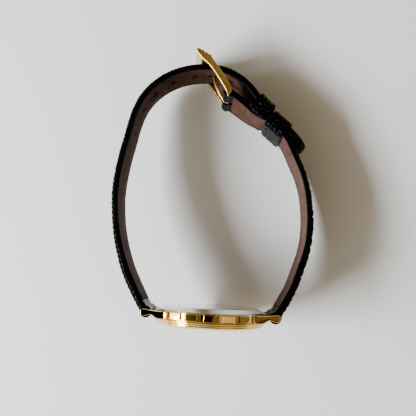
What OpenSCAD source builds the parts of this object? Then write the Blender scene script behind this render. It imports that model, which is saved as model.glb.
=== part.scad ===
// Slim round dress watch on a two-piece leather strap, buckled into a loop and lying on its side.
// Millimetres. Watch frame: X towards 12 o'clock, Y out through the case back, Z towards 9 o'clock.
// Every piece is then tipped by at_rest() into the pose it takes on a table, with +Z up.

/* [Case] */
// Radius over the flat pads of the case side
case_r = 14.2; // [14:0.05:14.4]
// Number of flat pads round the case side
pad_count = 20; // [16:1:24]
// Width of one pad
pad_w = 2.9; // [2:0.1:2.9]
// Height of one pad
pad_h = 1.6; // [1:0.1:1.7]
// Radius of the flat part of the case back
back_flat_r = 12.2; // [11:0.1:12.4]
// Height of the crystal's dome above its edge
dome_h = 0.3; // [0.1:0.05:0.5]

/* [Crown] */
// Radius of the crown
crown_r = 1.45; // [1.3:0.05:1.7]
// Number of flutes on the crown
crown_flutes = 28; // [16:1:36]

/* [Hands] */
// Length of the minute hand
minute_len = 9.2; // [7:0.1:9.8]
// Length of the hour hand
hour_len = 6.2; // [5:0.1:7.5]
// Length of one hour marker
marker_len = 1.8; // [1:0.1:2.4]

/* [Strap] */
// Strap width between the lugs
lug_w = 13.9; // [13.6:0.1:14]
// Strap width at the buckle
tip_w = 12; // [11:0.1:12]
// Thickness of the lining leather
lining_t = 0.5; // [0.3:0.05:0.6]
// Radius of the adjustment holes
hole_r = 0.9; // [0.7:0.05:1]

/* [Keepers] */
// Length of the sewn keeper along the strap
keeper1_l = 5.1; // [4.5:0.1:5.2]
// Length of the sliding keeper along the strap
keeper2_l = 5.7; // [5:0.1:5.8]
// Leather thickness of the keepers
keeper_t = 0.7; // [0.5:0.05:0.8]

/* [Buckle] */
// Width of one buckle arm
arm_w = 1.3; // [1:0.1:1.4]
// Width of the tongue
tongue_w = 1.3; // [1:0.1:1.4]

/* [Hidden] */
$fn = 48;

// Resting pose on a table: tip about X, roll about Y, then lift and centre
tip_x = -8.28;
roll_y = 8.17;
shift = [0.818, -31.656, 16.311];

gold = [0.83, 0.66, 0.29];
steel = [0.72, 0.73, 0.75];
brass = [0.76, 0.64, 0.36];
black_leather = [0.05, 0.05, 0.055];
lining_brown = [0.38, 0.27, 0.24];

// Stack of the case, measured along the dial axis, front positive
flank_lo = -0.85;
flank_hi = 1.25;
neck_top = 2.1;
bore_r = 11.7;
stem_z = 0.3;
tube_r = 0.5;
bar_x = 16.0;
bar_z = -0.18;
lug_in = 7.1;
lug_out = 8.75;

// Buckle bar, and the straight run of the strap under the sliding keeper
bb = [1.7, 56.45];
k2c = [14.96, 48.81];
k2a = -40;
k1c = [12.3, 55.0];
k1a = -43;

// Route of the long strap piece, from the lug round to its tail: x, y, half thickness
long_pts = [[-16.0, 0.2, 1.0], [-17.1, 1.7, 0.95], [-18.1, 3.4, 0.95], [-19.2, 5.4, 1.0], [-20.6, 8.1, 1.0],
            [-21.8, 10.7, 0.98], [-23.0, 14.1, 0.9], [-24.1, 18.1, 0.83], [-24.9, 22.4, 0.78],
            [-25.4, 27.5, 0.75], [-25.4, 31, 0.75], [-25.0, 35.2, 0.75], [-24.2, 40, 0.75],
            [-23.1, 45, 0.75], [-22.2, 49.1, 0.75], [-21.1, 52.4, 0.75], [-19.6, 55.2, 0.75],
            [-17.2, 58.0, 0.75], [-14.0, 60.4, 0.75], [-10.2, 62.1, 0.75], [-6.1, 63.0, 0.75],
            [-2.0, 63.1, 0.75], [1.9, 62.2, 0.75], [5.45, 60.25, 0.75], [8.45, 57.4, 0.75],
            [10.6, 54.2, 0.75], [12.7, 51.73, 0.75], [14.5, 50.22, 0.75], [16.3, 48.7, 0.75],
            [18.1, 47.19, 0.75], [20.1, 45.3, 0.75], [22.0, 43.2, 0.75]];
// Route of the short strap piece, from the lug round to the buckle bar
short_pts = [[16.0, 0.2, 1.0], [16.9, 1.6, 0.9], [17.9, 3.25, 0.87], [18.85, 5.05, 0.85], [19.95, 7.25, 0.85],
             [20.85, 9.65, 0.85], [21.6, 11.95, 0.85], [22.45, 14.55, 0.84], [23.1, 17, 0.8],
             [23.6, 20, 0.76], [23.8, 24, 0.74], [23.55, 28, 0.7], [22.95, 32, 0.66],
             [21.85, 35.95, 0.65], [20.35, 39.45, 0.65], [18.87, 42.55, 0.68], [17.9, 44.7, 0.72],
             [16.8, 46.25, 0.75], [15.3, 47.5, 0.75], [13.5, 49.02, 0.75], [11.9, 50.3, 0.75],
             [10.0, 51.15, 0.75], [8.2, 52.1, 0.75], [6.6, 53.3, 0.75], [4.9, 54.6, 0.78],
             [3.3, 55.7, 0.85], [1.7, 56.45, 0.95]];
step_n = 4;
leaf_i = 86;

// ---------- helpers ----------
function cr(a, b, c, d, t) = 0.5 * (2*b + (c - a)*t + (2*a - 5*b + 4*c - d)*t*t + (3*b - a - 3*c + d)*t*t*t);
function spline(P, n) = concat([for (i = [0 : len(P) - 2]) for (k = [0 : n - 1])
    cr(P[max(i - 1, 0)], P[i], P[i + 1], P[min(i + 2, len(P) - 1)], k/n)], [P[len(P) - 1]]);
function unit2(v) = v / norm(v);
function tan_at(S, i) = let (a = S[max(i - 1, 0)], b = S[min(i + 1, len(S) - 1)]) unit2([b[0] - a[0], b[1] - a[1]]);
// Point i of route S, moved by d to its outer side; sg is 1 on the long piece and -1 on the short one
function off(S, i, d, sg) = let (t = tan_at(S, i)) [S[i][0] - sg*t[1]*d, S[i][1] + sg*t[0]*d];
// Outline of the upper leather: it fills the whole thickness up to i0 and from i1, where it is turned over
function upper_pts(S, i0, i1, sg) = let (n = len(S) - 1)
    concat([for (i = [0 : n]) off(S, i, S[i][2], sg)],
           i1 < n ? [for (i = [n : -1 : i1]) off(S, i, -S[i][2], sg)] : [],
           [for (i = [min(i1, n) : -1 : i0]) off(S, i, lining_t - S[i][2], sg)],
           [for (i = [i0 : -1 : 0]) off(S, i, -S[i][2], sg)]);
function lining_pts(S, i0, i1, sg) =
    concat([for (i = [i0 : i1]) off(S, i, lining_t - S[i][2], sg)],
           [for (i = [i1 : -1 : i0]) off(S, i, -S[i][2], sg)]);
function gear_pts(n, rt, rr) = [for (i = [0 : n - 1]) each [
    [rr*cos(360*i/n), rr*sin(360*i/n)],
    [rt*cos(360*(i + 0.3)/n), rt*sin(360*(i + 0.3)/n)],
    [rt*cos(360*(i + 0.7)/n), rt*sin(360*(i + 0.7)/n)]]];
// Rounded rectangle, w along x and h along y
function rrect(w, h, r, m) = [for (q = [0 : 3]) for (k = [0 : m])
    let (a = 90*q + 90*k/m, cx = (q == 0 || q == 3 ? 1 : -1)*(w/2 - r), cy = (q < 2 ? 1 : -1)*(h/2 - r))
    [cx + r*cos(a), cy + r*sin(a)]];

LS = spline(long_pts, step_n);
SS = spline(short_pts, step_n);

module at_rest() { translate(shift) rotate([tip_x, 0, 0]) rotate([0, roll_y, 0]) children(); }
// Local case frame (x to 12, y to 9, z out of the dial) into the watch frame
module cased() { rotate([90, 0, 0]) children(); }
module ring(ro, ri, z0, z1) { difference() { translate([0, 0, z0]) cylinder(r = ro, h = z1 - z0); translate([0, 0, z0 - 1]) cylinder(r = ri, h = z1 - z0 + 2); } }
module rod(r, z0, z1) { translate([0, 0, z0]) cylinder(r = r, h = z1 - z0); }
module box(a, b) { translate(a) cube(b - a); }
// Cylinder along the stem axis, from y = a to y = b
module stem_rod(r, a, b) { translate([0, max(a, b), stem_z]) rotate([90, 0, 0]) cylinder(r = r, h = abs(b - a)); }
// Bar along Z of the watch frame at point p
module bar_rod(p, r, a, b) { translate([p[0], p[1], min(a, b)]) cylinder(r = r, h = abs(b - a)); }

// ---------- case ----------
module lug_plate() {
    translate([0, lug_out, 0]) rotate([90, 0, 0]) linear_extrude(lug_out - lug_in)
        polygon([[10.8, -0.6], [13.0, -0.62], [14.4, -0.78], [15.6, -0.98], [16.4, -1.05], [16.78, -0.95], [16.95, -0.65],
                 [16.95, 0.3], [16.75, 0.6], [16.3, 0.72], [15.7, 0.62], [15.0, 0.35], [14.5, 0.28], [14.0, 0.45],
                 [13.4, 0.95], [12.8, 1.2], [10.8, 1.2]]);
}
module lug() {
    difference() {
        lug_plate();
        translate([bar_x, lug_in + 1.05, bar_z]) rotate([90, 0, 0]) cylinder(r = 0.44, h = 2);
    }
}
module mid_case() color(gold) cased() {
    difference() {
        union() {
            rod(13.9, flank_lo, flank_hi);
            rod(13.0, flank_hi - 0.1, neck_top);
            for (k = [0 : pad_count - 1]) rotate([0, 0, k*360/pad_count])
                box([13.2, -pad_w/2, 0.2 - pad_h/2], [case_r, pad_w/2, 0.2 + pad_h/2]);
            lug();
            mirror([1, 0, 0]) lug();
            mirror([0, 1, 0]) lug();
            mirror([1, 0, 0]) mirror([0, 1, 0]) lug();
        }
        rod(bore_r, flank_lo - 1, 1.15);
        rod(11.1, 0, neck_top + 1);
        rod(12.7, flank_lo - 1, -0.25);
        stem_rod(tube_r, -11, -15);
    }
}
module bezel() color(gold) cased() rotate_extrude($fn = 96)
    polygon([[13.0, flank_hi], [13.9, flank_hi], [14.0, 1.33], [14.03, 1.45], [14.0, 1.57], [13.9, 1.65], [13.7, 1.68],
             [13.66, 1.74], [13.72, 1.82], [13.74, 1.92], [13.7, 2.02], [13.6, 2.1], [13.42, 2.13],
             [13.38, 2.19], [13.42, 2.27], [13.42, 2.37], [13.36, 2.47], [13.22, 2.56], [12.9, 2.74],
             [12.5, 2.9], [12.15, 2.98], [12.0, 2.98], [11.95, 2.93], [11.95, neck_top], [13.0, neck_top]]);
module crystal() color([0.85, 0.9, 0.95, 0.4]) cased() rotate_extrude($fn = 96)
    polygon(concat([[0, neck_top], [11.6, neck_top], [11.6, 2.88], [11.45, 3.0]],
        [for (k = [1 : 10]) let (r = 11.45*(1 - k/10)) [r, 3.0 + dome_h*(1 - (r/11.45)*(r/11.45))]]));
module crystal_gasket() color([0.9, 0.9, 0.88]) cased() ring(11.95, 11.6, neck_top, 2.85);
module case_back() color(steel) cased() rotate_extrude($fn = 96)
    polygon([[0, -1.9], [back_flat_r - 0.1, -1.9], [back_flat_r + 0.1, -1.84], [13.5, -1.0], [13.58, -0.9], [13.55, flank_lo],
             [12.68, flank_lo], [12.68, -0.65], [12.6, -0.5], [12.3, -0.5], [12.3, -1.4], [0, -1.4]]);
module back_gasket() color([0.1, 0.1, 0.1]) cased() ring(12.62, 12.0, -0.5, -0.25);

// ---------- dial and hands ----------
module dial() color([0.95, 0.94, 0.9]) cased() difference() {
    union() {
        rod(11.6, 0.8, 1.15);
        for (a = [60, 240]) rotate([0, 0, a]) translate([8.2, 0, 0]) rod(0.32, 0.1, 0.85);
    }
    rod(0.75, 0, 2);
}
module hour_markers() color(gold) cased() for (k = [0 : 11]) rotate([0, 0, 30*k])
    box([10.4 - (k % 3 == 0 ? marker_len + 0.6 : marker_len), -0.16 - (k % 3 == 0 ? 0.08 : 0), 1.15],
        [10.4, 0.16 + (k % 3 == 0 ? 0.08 : 0), 1.33]);
module hand(len, w, z0, z1, bore, hub, a) cased() rotate([0, 0, a]) difference() {
    union() {
        rod(hub, z0, z1);
        translate([0, 0, z0]) linear_extrude(z1 - z0)
            polygon([[-1.6, -w*0.4], [0, -w*0.5], [len*0.6, -w*0.5], [len, -0.06], [len, 0.06], [len*0.6, w*0.5], [0, w*0.5], [-1.6, w*0.4]]);
    }
    rod(bore, z0 - 1, z1 + 1);
}
module hour_hand() color(gold) hand(hour_len, 0.6, 1.42, 1.57, 0.62, 0.95, 55);
module minute_hand() color(gold) hand(minute_len, 0.5, 1.74, 1.87, 0.35, 0.75, -60);

// ---------- movement ----------
module movement_holder() color([0.9, 0.9, 0.86]) cased() difference() {
    ring(11.6, 9.75, -1.3, 0.78);
    stem_rod(0.42, -8, -13);
}
int_c = [2.29, 1.32];
rot_c = [4.01, 2.53];
min_c = [0, -1.8];
set_c = [0, -3.9];
bat_c = [-4.6, 3.9];
lev_c = [1.95, -8.85];
module main_plate() color(brass) cased() {
    difference() {
        rod(9.7, -0.1, 0.8);
        rod(0.4, -1, 1);
        rod(1.56, 0.2, 1);
        translate(min_c) rod(1.45, 0.2, 1);
        translate(set_c) rod(0.86, 0.2, 1);
        translate(bat_c) rod(3.5, -1, 0.45);
        stem_rod(0.38, -4.8, -11);
        box([-0.38, -11, -1], [0.38, -4.8, stem_z]);
        box([-0.55, -7.2, -1], [0.55, -5.3, 1]);
        for (a = [60, 240]) rotate([0, 0, a]) translate([8.2, 0, 0]) rod(0.36, -1, 1);
        translate(int_c) rod(0.13, -1, 0.1);
        translate(rot_c) rod(0.13, -1, 0.1);
        translate([-0.9, -2.9]) rod(0.3, -1, 0.1);
        translate([3.3, -2.4]) rod(0.3, -1, 0.1);
    }
    translate(min_c) rod(0.12, 0.1, 0.72);
    translate(set_c) rod(0.12, 0.1, 0.72);
    translate(lev_c) rod(0.14, -0.72, 0);
}
module arm2(a, b, w, z0, z1) { v = b - a; translate(a) rotate([0, 0, atan2(v[1], v[0])]) box([0, -w/2, z0], [norm(v), w/2, z1]); }
module train_bridge() color(steel) cased() difference() {
    union() {
        rod(0.9, -1.3, -1.05);
        translate(int_c) rod(0.9, -1.3, -1.05);
        translate(rot_c) rod(0.9, -1.3, -1.05);
        arm2([0, 0], int_c, 1.4, -1.3, -1.05);
        arm2(int_c, rot_c, 1.4, -1.3, -1.05);
        arm2([0, 0], [-0.9, -2.9], 1.2, -1.3, -1.05);
        arm2([0, 0], [3.3, -2.4], 1.2, -1.3, -1.05);
        translate([-0.9, -2.9]) { rod(0.7, -1.3, -1.05); rod(0.5, -1.1, -0.1); }
        translate([3.3, -2.4]) { rod(0.7, -1.3, -1.05); rod(0.5, -1.1, -0.1); }
    }
    rod(0.13, -2, 0);
    translate(int_c) rod(0.13, -2, 0);
    translate(rot_c) rod(0.13, -2, 0);
    translate([-0.9, -2.9]) rod(0.3, -2, 1);
    translate([3.3, -2.4]) rod(0.3, -2, 1);
}
module small_screw(p, z0, zt) translate(p) difference() {
    union() { rod(0.55, z0 - 0.08, z0); rod(0.3, z0 - 0.02, zt); }
    box([-1, -0.07, z0 - 1], [1, 0.07, z0 - 0.03]);
}
module movement_screws() color(steel) cased() {
    small_screw([-0.9, -2.9], -1.3, 0.08);
    small_screw([3.3, -2.4], -1.3, 0.08);
}
module battery() color([0.8, 0.8, 0.82]) cased() translate(bat_c) {
    rod(3.4, -1.0, 0.43);
    rod(2.6, -1.18, -0.95);
}
module battery_clamp() color(steel) cased() difference() {
    union() {
        translate(bat_c) rod(1.2, -1.3, -1.18);
        arm2(bat_c, [-8.6, 0.2], 1, -1.3, -1.18);
        arm2(bat_c, [-0.7, 7.4], 1, -1.3, -1.18);
        translate([-0.7, 7.4]) rod(0.75, -1.3, -0.1);
        translate([-8.6, 0.2]) rod(0.6, -1.3, -0.1);
    }
    translate([-0.7, 7.4]) rod(0.3, -2, -0.6);
}
module coil_winding() color([0.72, 0.36, 0.16]) cased() translate([7, 0, -0.75]) rotate([90, 0, 0]) difference() {
    translate([0, 0, -3.1]) cylinder(r = 0.57, h = 6.2);
    translate([-0.4, -0.1, -4]) cube([0.8, 0.2, 8]);
}
module coil_core() color([0.5, 0.5, 0.52]) cased() {
    box([6.6, -4.3, -0.85], [7.4, 4.3, -0.65]);
}
module stator() color([0.6, 0.6, 0.62]) cased() difference() {
    union() {
        box([2.95, 1.5, -0.65], [5.2, 3.8, -0.42]);
        box([4.2, 3.4, -0.65], [7.4, 4.3, -0.42]);
        box([4.5, -4.3, -0.65], [5.2, 1.6, -0.42]);
        box([4.5, -4.3, -0.65], [7.4, -3.4, -0.42]);
    }
    translate(rot_c) rod(0.78, -1, 0);
}
module rotor() color([0.35, 0.35, 0.38]) cased() translate(rot_c) {
    rod(0.6, -0.75, -0.36);
    rod(0.1, -1.2, 0.05);
    translate([0, 0, -0.32]) linear_extrude(0.18) polygon(gear_pts(6, 0.2, 0.13));
    rod(0.13, -0.4, -0.2);
}
module intermediate_wheel() color(brass) cased() translate(int_c) {
    rod(0.1, -1.2, 0.05);
    translate([0, 0, -0.29]) linear_extrude(0.11) polygon(gear_pts(54, 1.87, 1.77));
    translate([0, 0, -0.62]) linear_extrude(0.34) polygon(gear_pts(8, 0.22, 0.14));
}
module center_wheel() color(brass) cased() {
    rod(0.1, -1.2, -0.9);
    rod(0.35, -0.95, 1.95);
    translate([0, 0, -0.54]) linear_extrude(0.16) polygon(gear_pts(80, 2.39, 2.31));
    translate([0, 0, 0.23]) linear_extrude(0.15) polygon(gear_pts(12, 0.44, 0.36));
}
module minute_wheel() color(brass) cased() translate(min_c) difference() {
    union() {
        translate([0, 0, 0.23]) linear_extrude(0.15) polygon(gear_pts(36, 1.33, 1.24));
        translate([0, 0, 0.3]) linear_extrude(0.34) polygon(gear_pts(10, 0.35, 0.27));
    }
    rod(0.15, -1, 2);
}
module hour_wheel() color(brass) cased() difference() {
    union() {
        translate([0, 0, 0.46]) linear_extrude(0.14) polygon(gear_pts(40, 1.42, 1.34));
        rod(0.62, 0.46, 1.6);
    }
    rod(0.4, 0, 3);
}
module setting_wheel() color(brass) cased() translate(set_c) difference() {
    translate([0, 0, 0.23]) linear_extrude(0.15) polygon(gear_pts(20, 0.74, 0.65));
    rod(0.15, -1, 2);
}
module circuit_board() color([0.1, 0.32, 0.16]) cased() intersection() {
    rod(9.5, -0.35, -0.1);
    union() {
        box([-9.5, -9.5, -0.4], [-1.6, -0.6, 0]);
        box([-3.4, -4, -0.4], [-2.6, -0.2, 0]);
    }
}
module quartz_can() color([0.78, 0.78, 0.8]) cased() translate([-5.2, -1.6, -0.82]) rotate([90, 0, 0]) {
    cylinder(r = 0.46, h = 4.4);
    translate([0, 0, -0.15]) cylinder(r = 0.36, h = 0.2);
}
module control_chip() color([0.08, 0.08, 0.09]) cased() {
    translate([-3.1, -5.2]) rod(0.9, -0.75, -0.35);
}
module clutch_pinion() color(steel) cased() difference() {
    translate([0, -5.7, stem_z]) rotate([90, 0, 0]) linear_extrude(0.9) polygon(gear_pts(14, 0.47, 0.38));
    box([-0.2, -8, stem_z - 0.2], [0.2, -5, stem_z + 0.2]);
}
module winding_stem() color(steel) cased() {
    stem_rod(0.33, -8.6, -16.1);
    stem_rod(0.18, -8.0, -8.7);
    stem_rod(0.33, -7.0, -8.1);
    box([-0.17, -7.1, stem_z - 0.17], [0.17, -5.2, stem_z + 0.17]);
}
module setting_lever() color(steel) cased() difference() {
    union() {
        translate(lev_c) rod(0.42, -0.62, -0.42);
        arm2(lev_c, [0, -8.35], 0.55, -0.62, -0.42);
        translate([0, -8.35]) { rod(0.3, -0.62, -0.42); rod(0.2, -0.5, 0.08); }
    }
    translate(lev_c) rod(0.17, -2, 2);
}
module stem_tube() color(steel) cased() difference() {
    stem_rod(tube_r, -11.75, -15.3);
    stem_rod(0.37, -11, -16);
}
module crown() color(gold) cased() difference() {
    union() {
        translate([0, -14.55, stem_z]) rotate([90, 0, 0]) linear_extrude(1.7) polygon(gear_pts(crown_flutes, crown_r, crown_r - 0.13));
        translate([0, -16.2, stem_z]) rotate([90, 0, 0]) rotate_extrude()
            polygon([[0, 0], [crown_r - 0.15, 0], [crown_r - 0.17, 0.12], [crown_r - 0.4, 0.28], [crown_r - 0.8, 0.36], [0, 0.4]]);
    }
    stem_rod(0.8, -14, -15.4);
    stem_rod(0.33, -15, -16.1);
}
module crown_gasket() color([0.1, 0.1, 0.1]) cased() translate([0, -14.75, stem_z]) rotate([90, 0, 0]) difference() {
    cylinder(r = 0.8, h = 0.3);
    translate([0, 0, -1]) cylinder(r = tube_r + 0.02, h = 3);
}

// ---------- spring bars ----------
module bar_tube(p, hl, ro) color(steel) difference() {
    bar_rod(p, ro, -hl, hl);
    bar_rod(p, 0.5, -hl - 1, hl + 1);
}
// Sprung tip: rod in the tube, shoulder, then the thin pivot
module bar_tip(p, hl, ro, rp, sh, end, s) color(steel) {
    bar_rod(p, 0.46, s*(hl - 1.3), s*(sh + 0.05));
    bar_rod(p, ro - 0.05, s*sh, s*(sh + 0.2));
    bar_rod(p, rp, s*(sh + 0.1), s*end);
}
b12 = [bar_x, -bar_z];
b6 = [-bar_x, -bar_z];
module spring_bar_tube_12() bar_tube(b12, 5.6, 0.75);
module spring_bar_tube_6() bar_tube(b6, 5.6, 0.75);
module buckle_bar_tube() in_buckle() bar_tube([0, 0], 4.2, 0.7);
module spring_bar_tip_12_a() bar_tip(b12, 5.6, 0.75, 0.4, 6.5, 7.9, 1);
module spring_bar_tip_12_b() bar_tip(b12, 5.6, 0.75, 0.4, 6.5, 7.9, -1);
module spring_bar_tip_6_a() bar_tip(b6, 5.6, 0.75, 0.4, 6.5, 7.9, 1);
module spring_bar_tip_6_b() bar_tip(b6, 5.6, 0.75, 0.4, 6.5, 7.9, -1);
module buckle_bar_tip_a() in_buckle() bar_tip([0, 0], 4.2, 0.7, 0.35, 5.5, 7.42, 1);
module buckle_bar_tip_b() in_buckle() bar_tip([0, 0], 4.2, 0.7, 0.35, 5.5, 7.42, -1);
// Spring of a bar, h to each side of its middle
module bar_coils(p, h) for (k = [-6 : 6]) translate([p[0], p[1], k*h/6]) rotate_extrude($fn = 24) translate([0.36, 0]) circle(r = 0.09, $fn = 16);
module spring_bar_springs() color(steel) { bar_coils(b12, 3.2); bar_coils(b6, 3.2); in_buckle() bar_coils([0, 0], 1.45); }

// ---------- strap ----------
// Taper of the strap across its width, seen along X
module taper(over) rotate([90, 0, 90]) translate([0, 0, -40]) linear_extrude(80)
    polygon([[-3, lug_w/2 + over], [55, tip_w/2 + over], [75, tip_w/2 + over], [75, -tip_w/2 - over], [55, -tip_w/2 - over], [-3, -lug_w/2 - over]]);
module slab(P) { intersection() { translate([0, 0, -8]) linear_extrude(16) polygon(P); taper(0); } }
// Hole through the strap at spline index i
module strap_hole(S, i, stretch) {
    t = tan_at(S, i);
    translate([S[i][0], S[i][1], 0]) rotate([0, 0, atan2(t[1], t[0])]) {
        translate([-stretch/2, 3, 0]) rotate([90, 0, 0]) cylinder(r = hole_r, h = 6);
        if (stretch > 0) {
            translate([stretch/2, 3, 0]) rotate([90, 0, 0]) cylinder(r = hole_r, h = 6);
            translate([-stretch/2, -3, -hole_r]) cube([stretch, 6, 2*hole_r]);
        }
    }
}
module strap_holes() {
    for (i = [54, 61, 67, 73, 79]) strap_hole(LS, i, 0);
    strap_hole(LS, 84, 1.4);
    strap_hole(LS, 89, 0);
}
// Cuts the tail of the long piece to a round point
module tail_trim() {
    n = len(LS) - 1;
    t = tan_at(LS, n);
    translate([LS[n][0], LS[n][1], 0]) rotate([0, 0, atan2(t[1], t[0])]) for (m = [0, 1]) mirror([0, 0, m])
        translate([0, 3, 0]) rotate([90, 0, 0]) linear_extrude(6)
            polygon([[1, -2.2], [0, -2.4], [-0.6, -3.9], [-1.7, -5.1], [-3.2, -5.8], [-4.6, -6.1], [-4.6, -8], [1, -8]]);
}
module strap_6_upper() color(black_leather) difference() {
    union() {
        slab(upper_pts(LS, 6, len(LS) - 1, 1));
        intersection() { bar_rod(b6, 1.5, -8, 8); taper(0); }
    }
    bar_rod(b6, 0.8, -9, 9);
    strap_holes();
    tail_trim();
}
module strap_6_lining() color(lining_brown) difference() {
    slab(lining_pts(LS, 6, len(LS) - 1, 1));
    strap_holes();
    tail_trim();
}
// End of the sewn keeper that is tucked between the layers of the short piece
module keeper1_leaf(hz) {
    t = tan_at(SS, leaf_i);
    translate([SS[leaf_i][0], SS[leaf_i][1], 0]) rotate([0, 0, atan2(t[1], t[0])]) box([-1.2, -0.35, -hz], [1.2, 0.05, hz]);
}
module strap_12_upper() color(black_leather) difference() {
    union() {
        slab(upper_pts(SS, 6, 100, -1));
        intersection() { bar_rod(b12, 1.5, -8, 8); taper(0); }
        in_buckle() rod(1.35, -tip_w/2, tip_w/2);
    }
    bar_rod(b12, 0.8, -9, 9);
    in_buckle() rod(0.74, -9, 9);
    keeper1_leaf(8);
    // slot that the tongue turns in
    box([bb[0] - 3, bb[1] - 3, -tongue_w/2 - 0.35], [bb[0] + 1.7, bb[1] + 3, tongue_w/2 + 0.35]);
}
module strap_12_lining() color(lining_brown) slab(lining_pts(SS, 6, 100, -1));
module fixed_keeper() color(black_leather) {
    translate([k1c[0], k1c[1], 0]) rotate([0, 0, k1a]) difference() {
        rotate([90, 0, 90]) translate([0, 0, -keeper1_l/2]) linear_extrude(keeper1_l) translate([-2.4, 0]) polygon(rrect(5.4, 2*(6.2 + keeper_t), 0.7, 4));
        rotate([90, 0, 90]) translate([0, 0, -5]) linear_extrude(10) translate([-3.7, 0]) polygon(rrect(6.6, 12.4, 0.3, 3));
    }
    keeper1_leaf(6.5);
}
module free_keeper() color(black_leather) translate([k2c[0], k2c[1], 0]) rotate([0, 0, k2a]) difference() {
    rotate([90, 0, 90]) translate([0, 0, -keeper2_l/2]) linear_extrude(keeper2_l) polygon(rrect(3.4 + 2*keeper_t, 12.5 + 2*keeper_t, 0.9, 4));
    rotate([90, 0, 90]) translate([0, 0, -6]) linear_extrude(12) polygon(rrect(3.4, 12.5, 0.3, 3));
}

// ---------- buckle ----------
// Seen from the side: x runs along the arm from the bar, negative y to the outside. The buckle sits
// slightly askew on the strap, its upper arm further out than its lower one.
bk_a = 123.6;
bk_tilt = 3.3;
module in_buckle() translate([bb[0], bb[1], 0]) rotate([0, 0, bk_a]) rotate([bk_tilt, 0, 0]) children();
module buckle_arm() linear_extrude(arm_w)
    polygon([[-1.1, 0.85], [-0.95, 0.35], [-0.65, -0.25], [-0.1, -0.75], [0.9, -0.95], [2.4, -1.08], [4.0, -1.05], [6.5, -0.95],
             [9.0, -0.85], [10.1, -0.75], [10.7, -0.6], [11.6, -0.05], [12.7, 0.42], [13.3, 0.75], [13.6, 1.15],
             [13.6, 1.5], [13.3, 1.72], [12.7, 1.75], [11.9, 1.7], [11.1, 1.57], [9.65, 1.15], [8.75, 0.95], [7.3, 0.75],
             [5.9, 0.65], [4.35, 0.6], [2.95, 0.58], [1.65, 0.6], [0.35, 0.68], [-0.4, 0.85], [-0.85, 0.98]]);
module buckle_frame() color(gold) in_buckle() difference() {
    union() {
        translate([0, 0, 6.2]) buckle_arm();
        translate([0, 0, -6.2 - arm_w]) buckle_arm();
        translate([0, 0, -6.3]) linear_extrude(12.6)
            polygon([[10.0, -0.75], [10.7, -0.6], [11.6, -0.05], [12.7, 0.42], [13.3, 0.75], [13.6, 1.15], [13.6, 1.5],
                     [13.3, 1.72], [12.7, 1.75], [11.9, 1.7], [11.1, 1.57], [10.6, 1.2], [10.15, 0.4]]);
        // reeds across the front bar
        for (p = [[10.3, -0.62], [11.25, -0.12], [12.25, 0.34], [13.15, 0.95]])
            translate([p[0], p[1], -6.2 - arm_w]) cylinder(r = 0.4, h = 2*(6.2 + arm_w));
    }
    // seat for the tongue
    translate([9, -4, -tongue_w/2 - 0.15]) cube([7, 4.12, tongue_w + 0.3]);
    rod(0.39, -9, 9);
}
module buckle_tongue() color(gold) in_buckle() difference() {
    union() {
        rod(1.2, -tongue_w/2, tongue_w/2);
        translate([0, 0, -tongue_w/2]) linear_extrude(tongue_w)
            polygon([[-0.2, 1.15], [1.0, 1.28], [2.2, 1.32], [3.5, 1.2], [5.0, 0.88], [6.5, 0.45], [8.0, 0.08], [9.2, -0.1],
                     [11.0, -0.06], [12.4, 0.0], [12.95, -0.06], [13.15, -0.3], [12.9, -0.55], [12.0, -0.66], [10.5, -0.72], [9.0, -0.68],
                     [7.5, -0.5], [6.0, -0.15], [4.5, 0.25], [3.0, 0.45], [1.8, 0.15], [1.0, -0.6], [-0.2, -1.1]]);
    }
    rod(0.75, -9, 9);
}

at_rest() mid_case();
at_rest() bezel();
at_rest() crystal();
at_rest() crystal_gasket();
at_rest() dial();
at_rest() hour_markers();
at_rest() hour_hand();
at_rest() minute_hand();
at_rest() movement_holder();
at_rest() main_plate();
at_rest() train_bridge();
at_rest() movement_screws();
at_rest() battery();
at_rest() battery_clamp();
at_rest() coil_winding();
at_rest() coil_core();
at_rest() stator();
at_rest() rotor();
at_rest() intermediate_wheel();
at_rest() center_wheel();
at_rest() minute_wheel();
at_rest() hour_wheel();
at_rest() setting_wheel();
at_rest() circuit_board();
at_rest() quartz_can();
at_rest() control_chip();
at_rest() clutch_pinion();
at_rest() winding_stem();
at_rest() setting_lever();
at_rest() stem_tube();
at_rest() crown();
at_rest() crown_gasket();
at_rest() case_back();
at_rest() back_gasket();
at_rest() spring_bar_tube_12();
at_rest() spring_bar_tube_6();
at_rest() buckle_bar_tube();
at_rest() spring_bar_springs();
at_rest() spring_bar_tip_12_a();
at_rest() spring_bar_tip_12_b();
at_rest() spring_bar_tip_6_a();
at_rest() spring_bar_tip_6_b();
at_rest() buckle_bar_tip_a();
at_rest() buckle_bar_tip_b();
at_rest() strap_12_upper();
at_rest() strap_12_lining();
at_rest() strap_6_upper();
at_rest() strap_6_lining();
at_rest() fixed_keeper();
at_rest() free_keeper();
at_rest() buckle_frame();
at_rest() buckle_tongue();
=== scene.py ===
import bpy
import bmesh
import math
import numpy as np
from mathutils import Matrix, Vector


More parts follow.
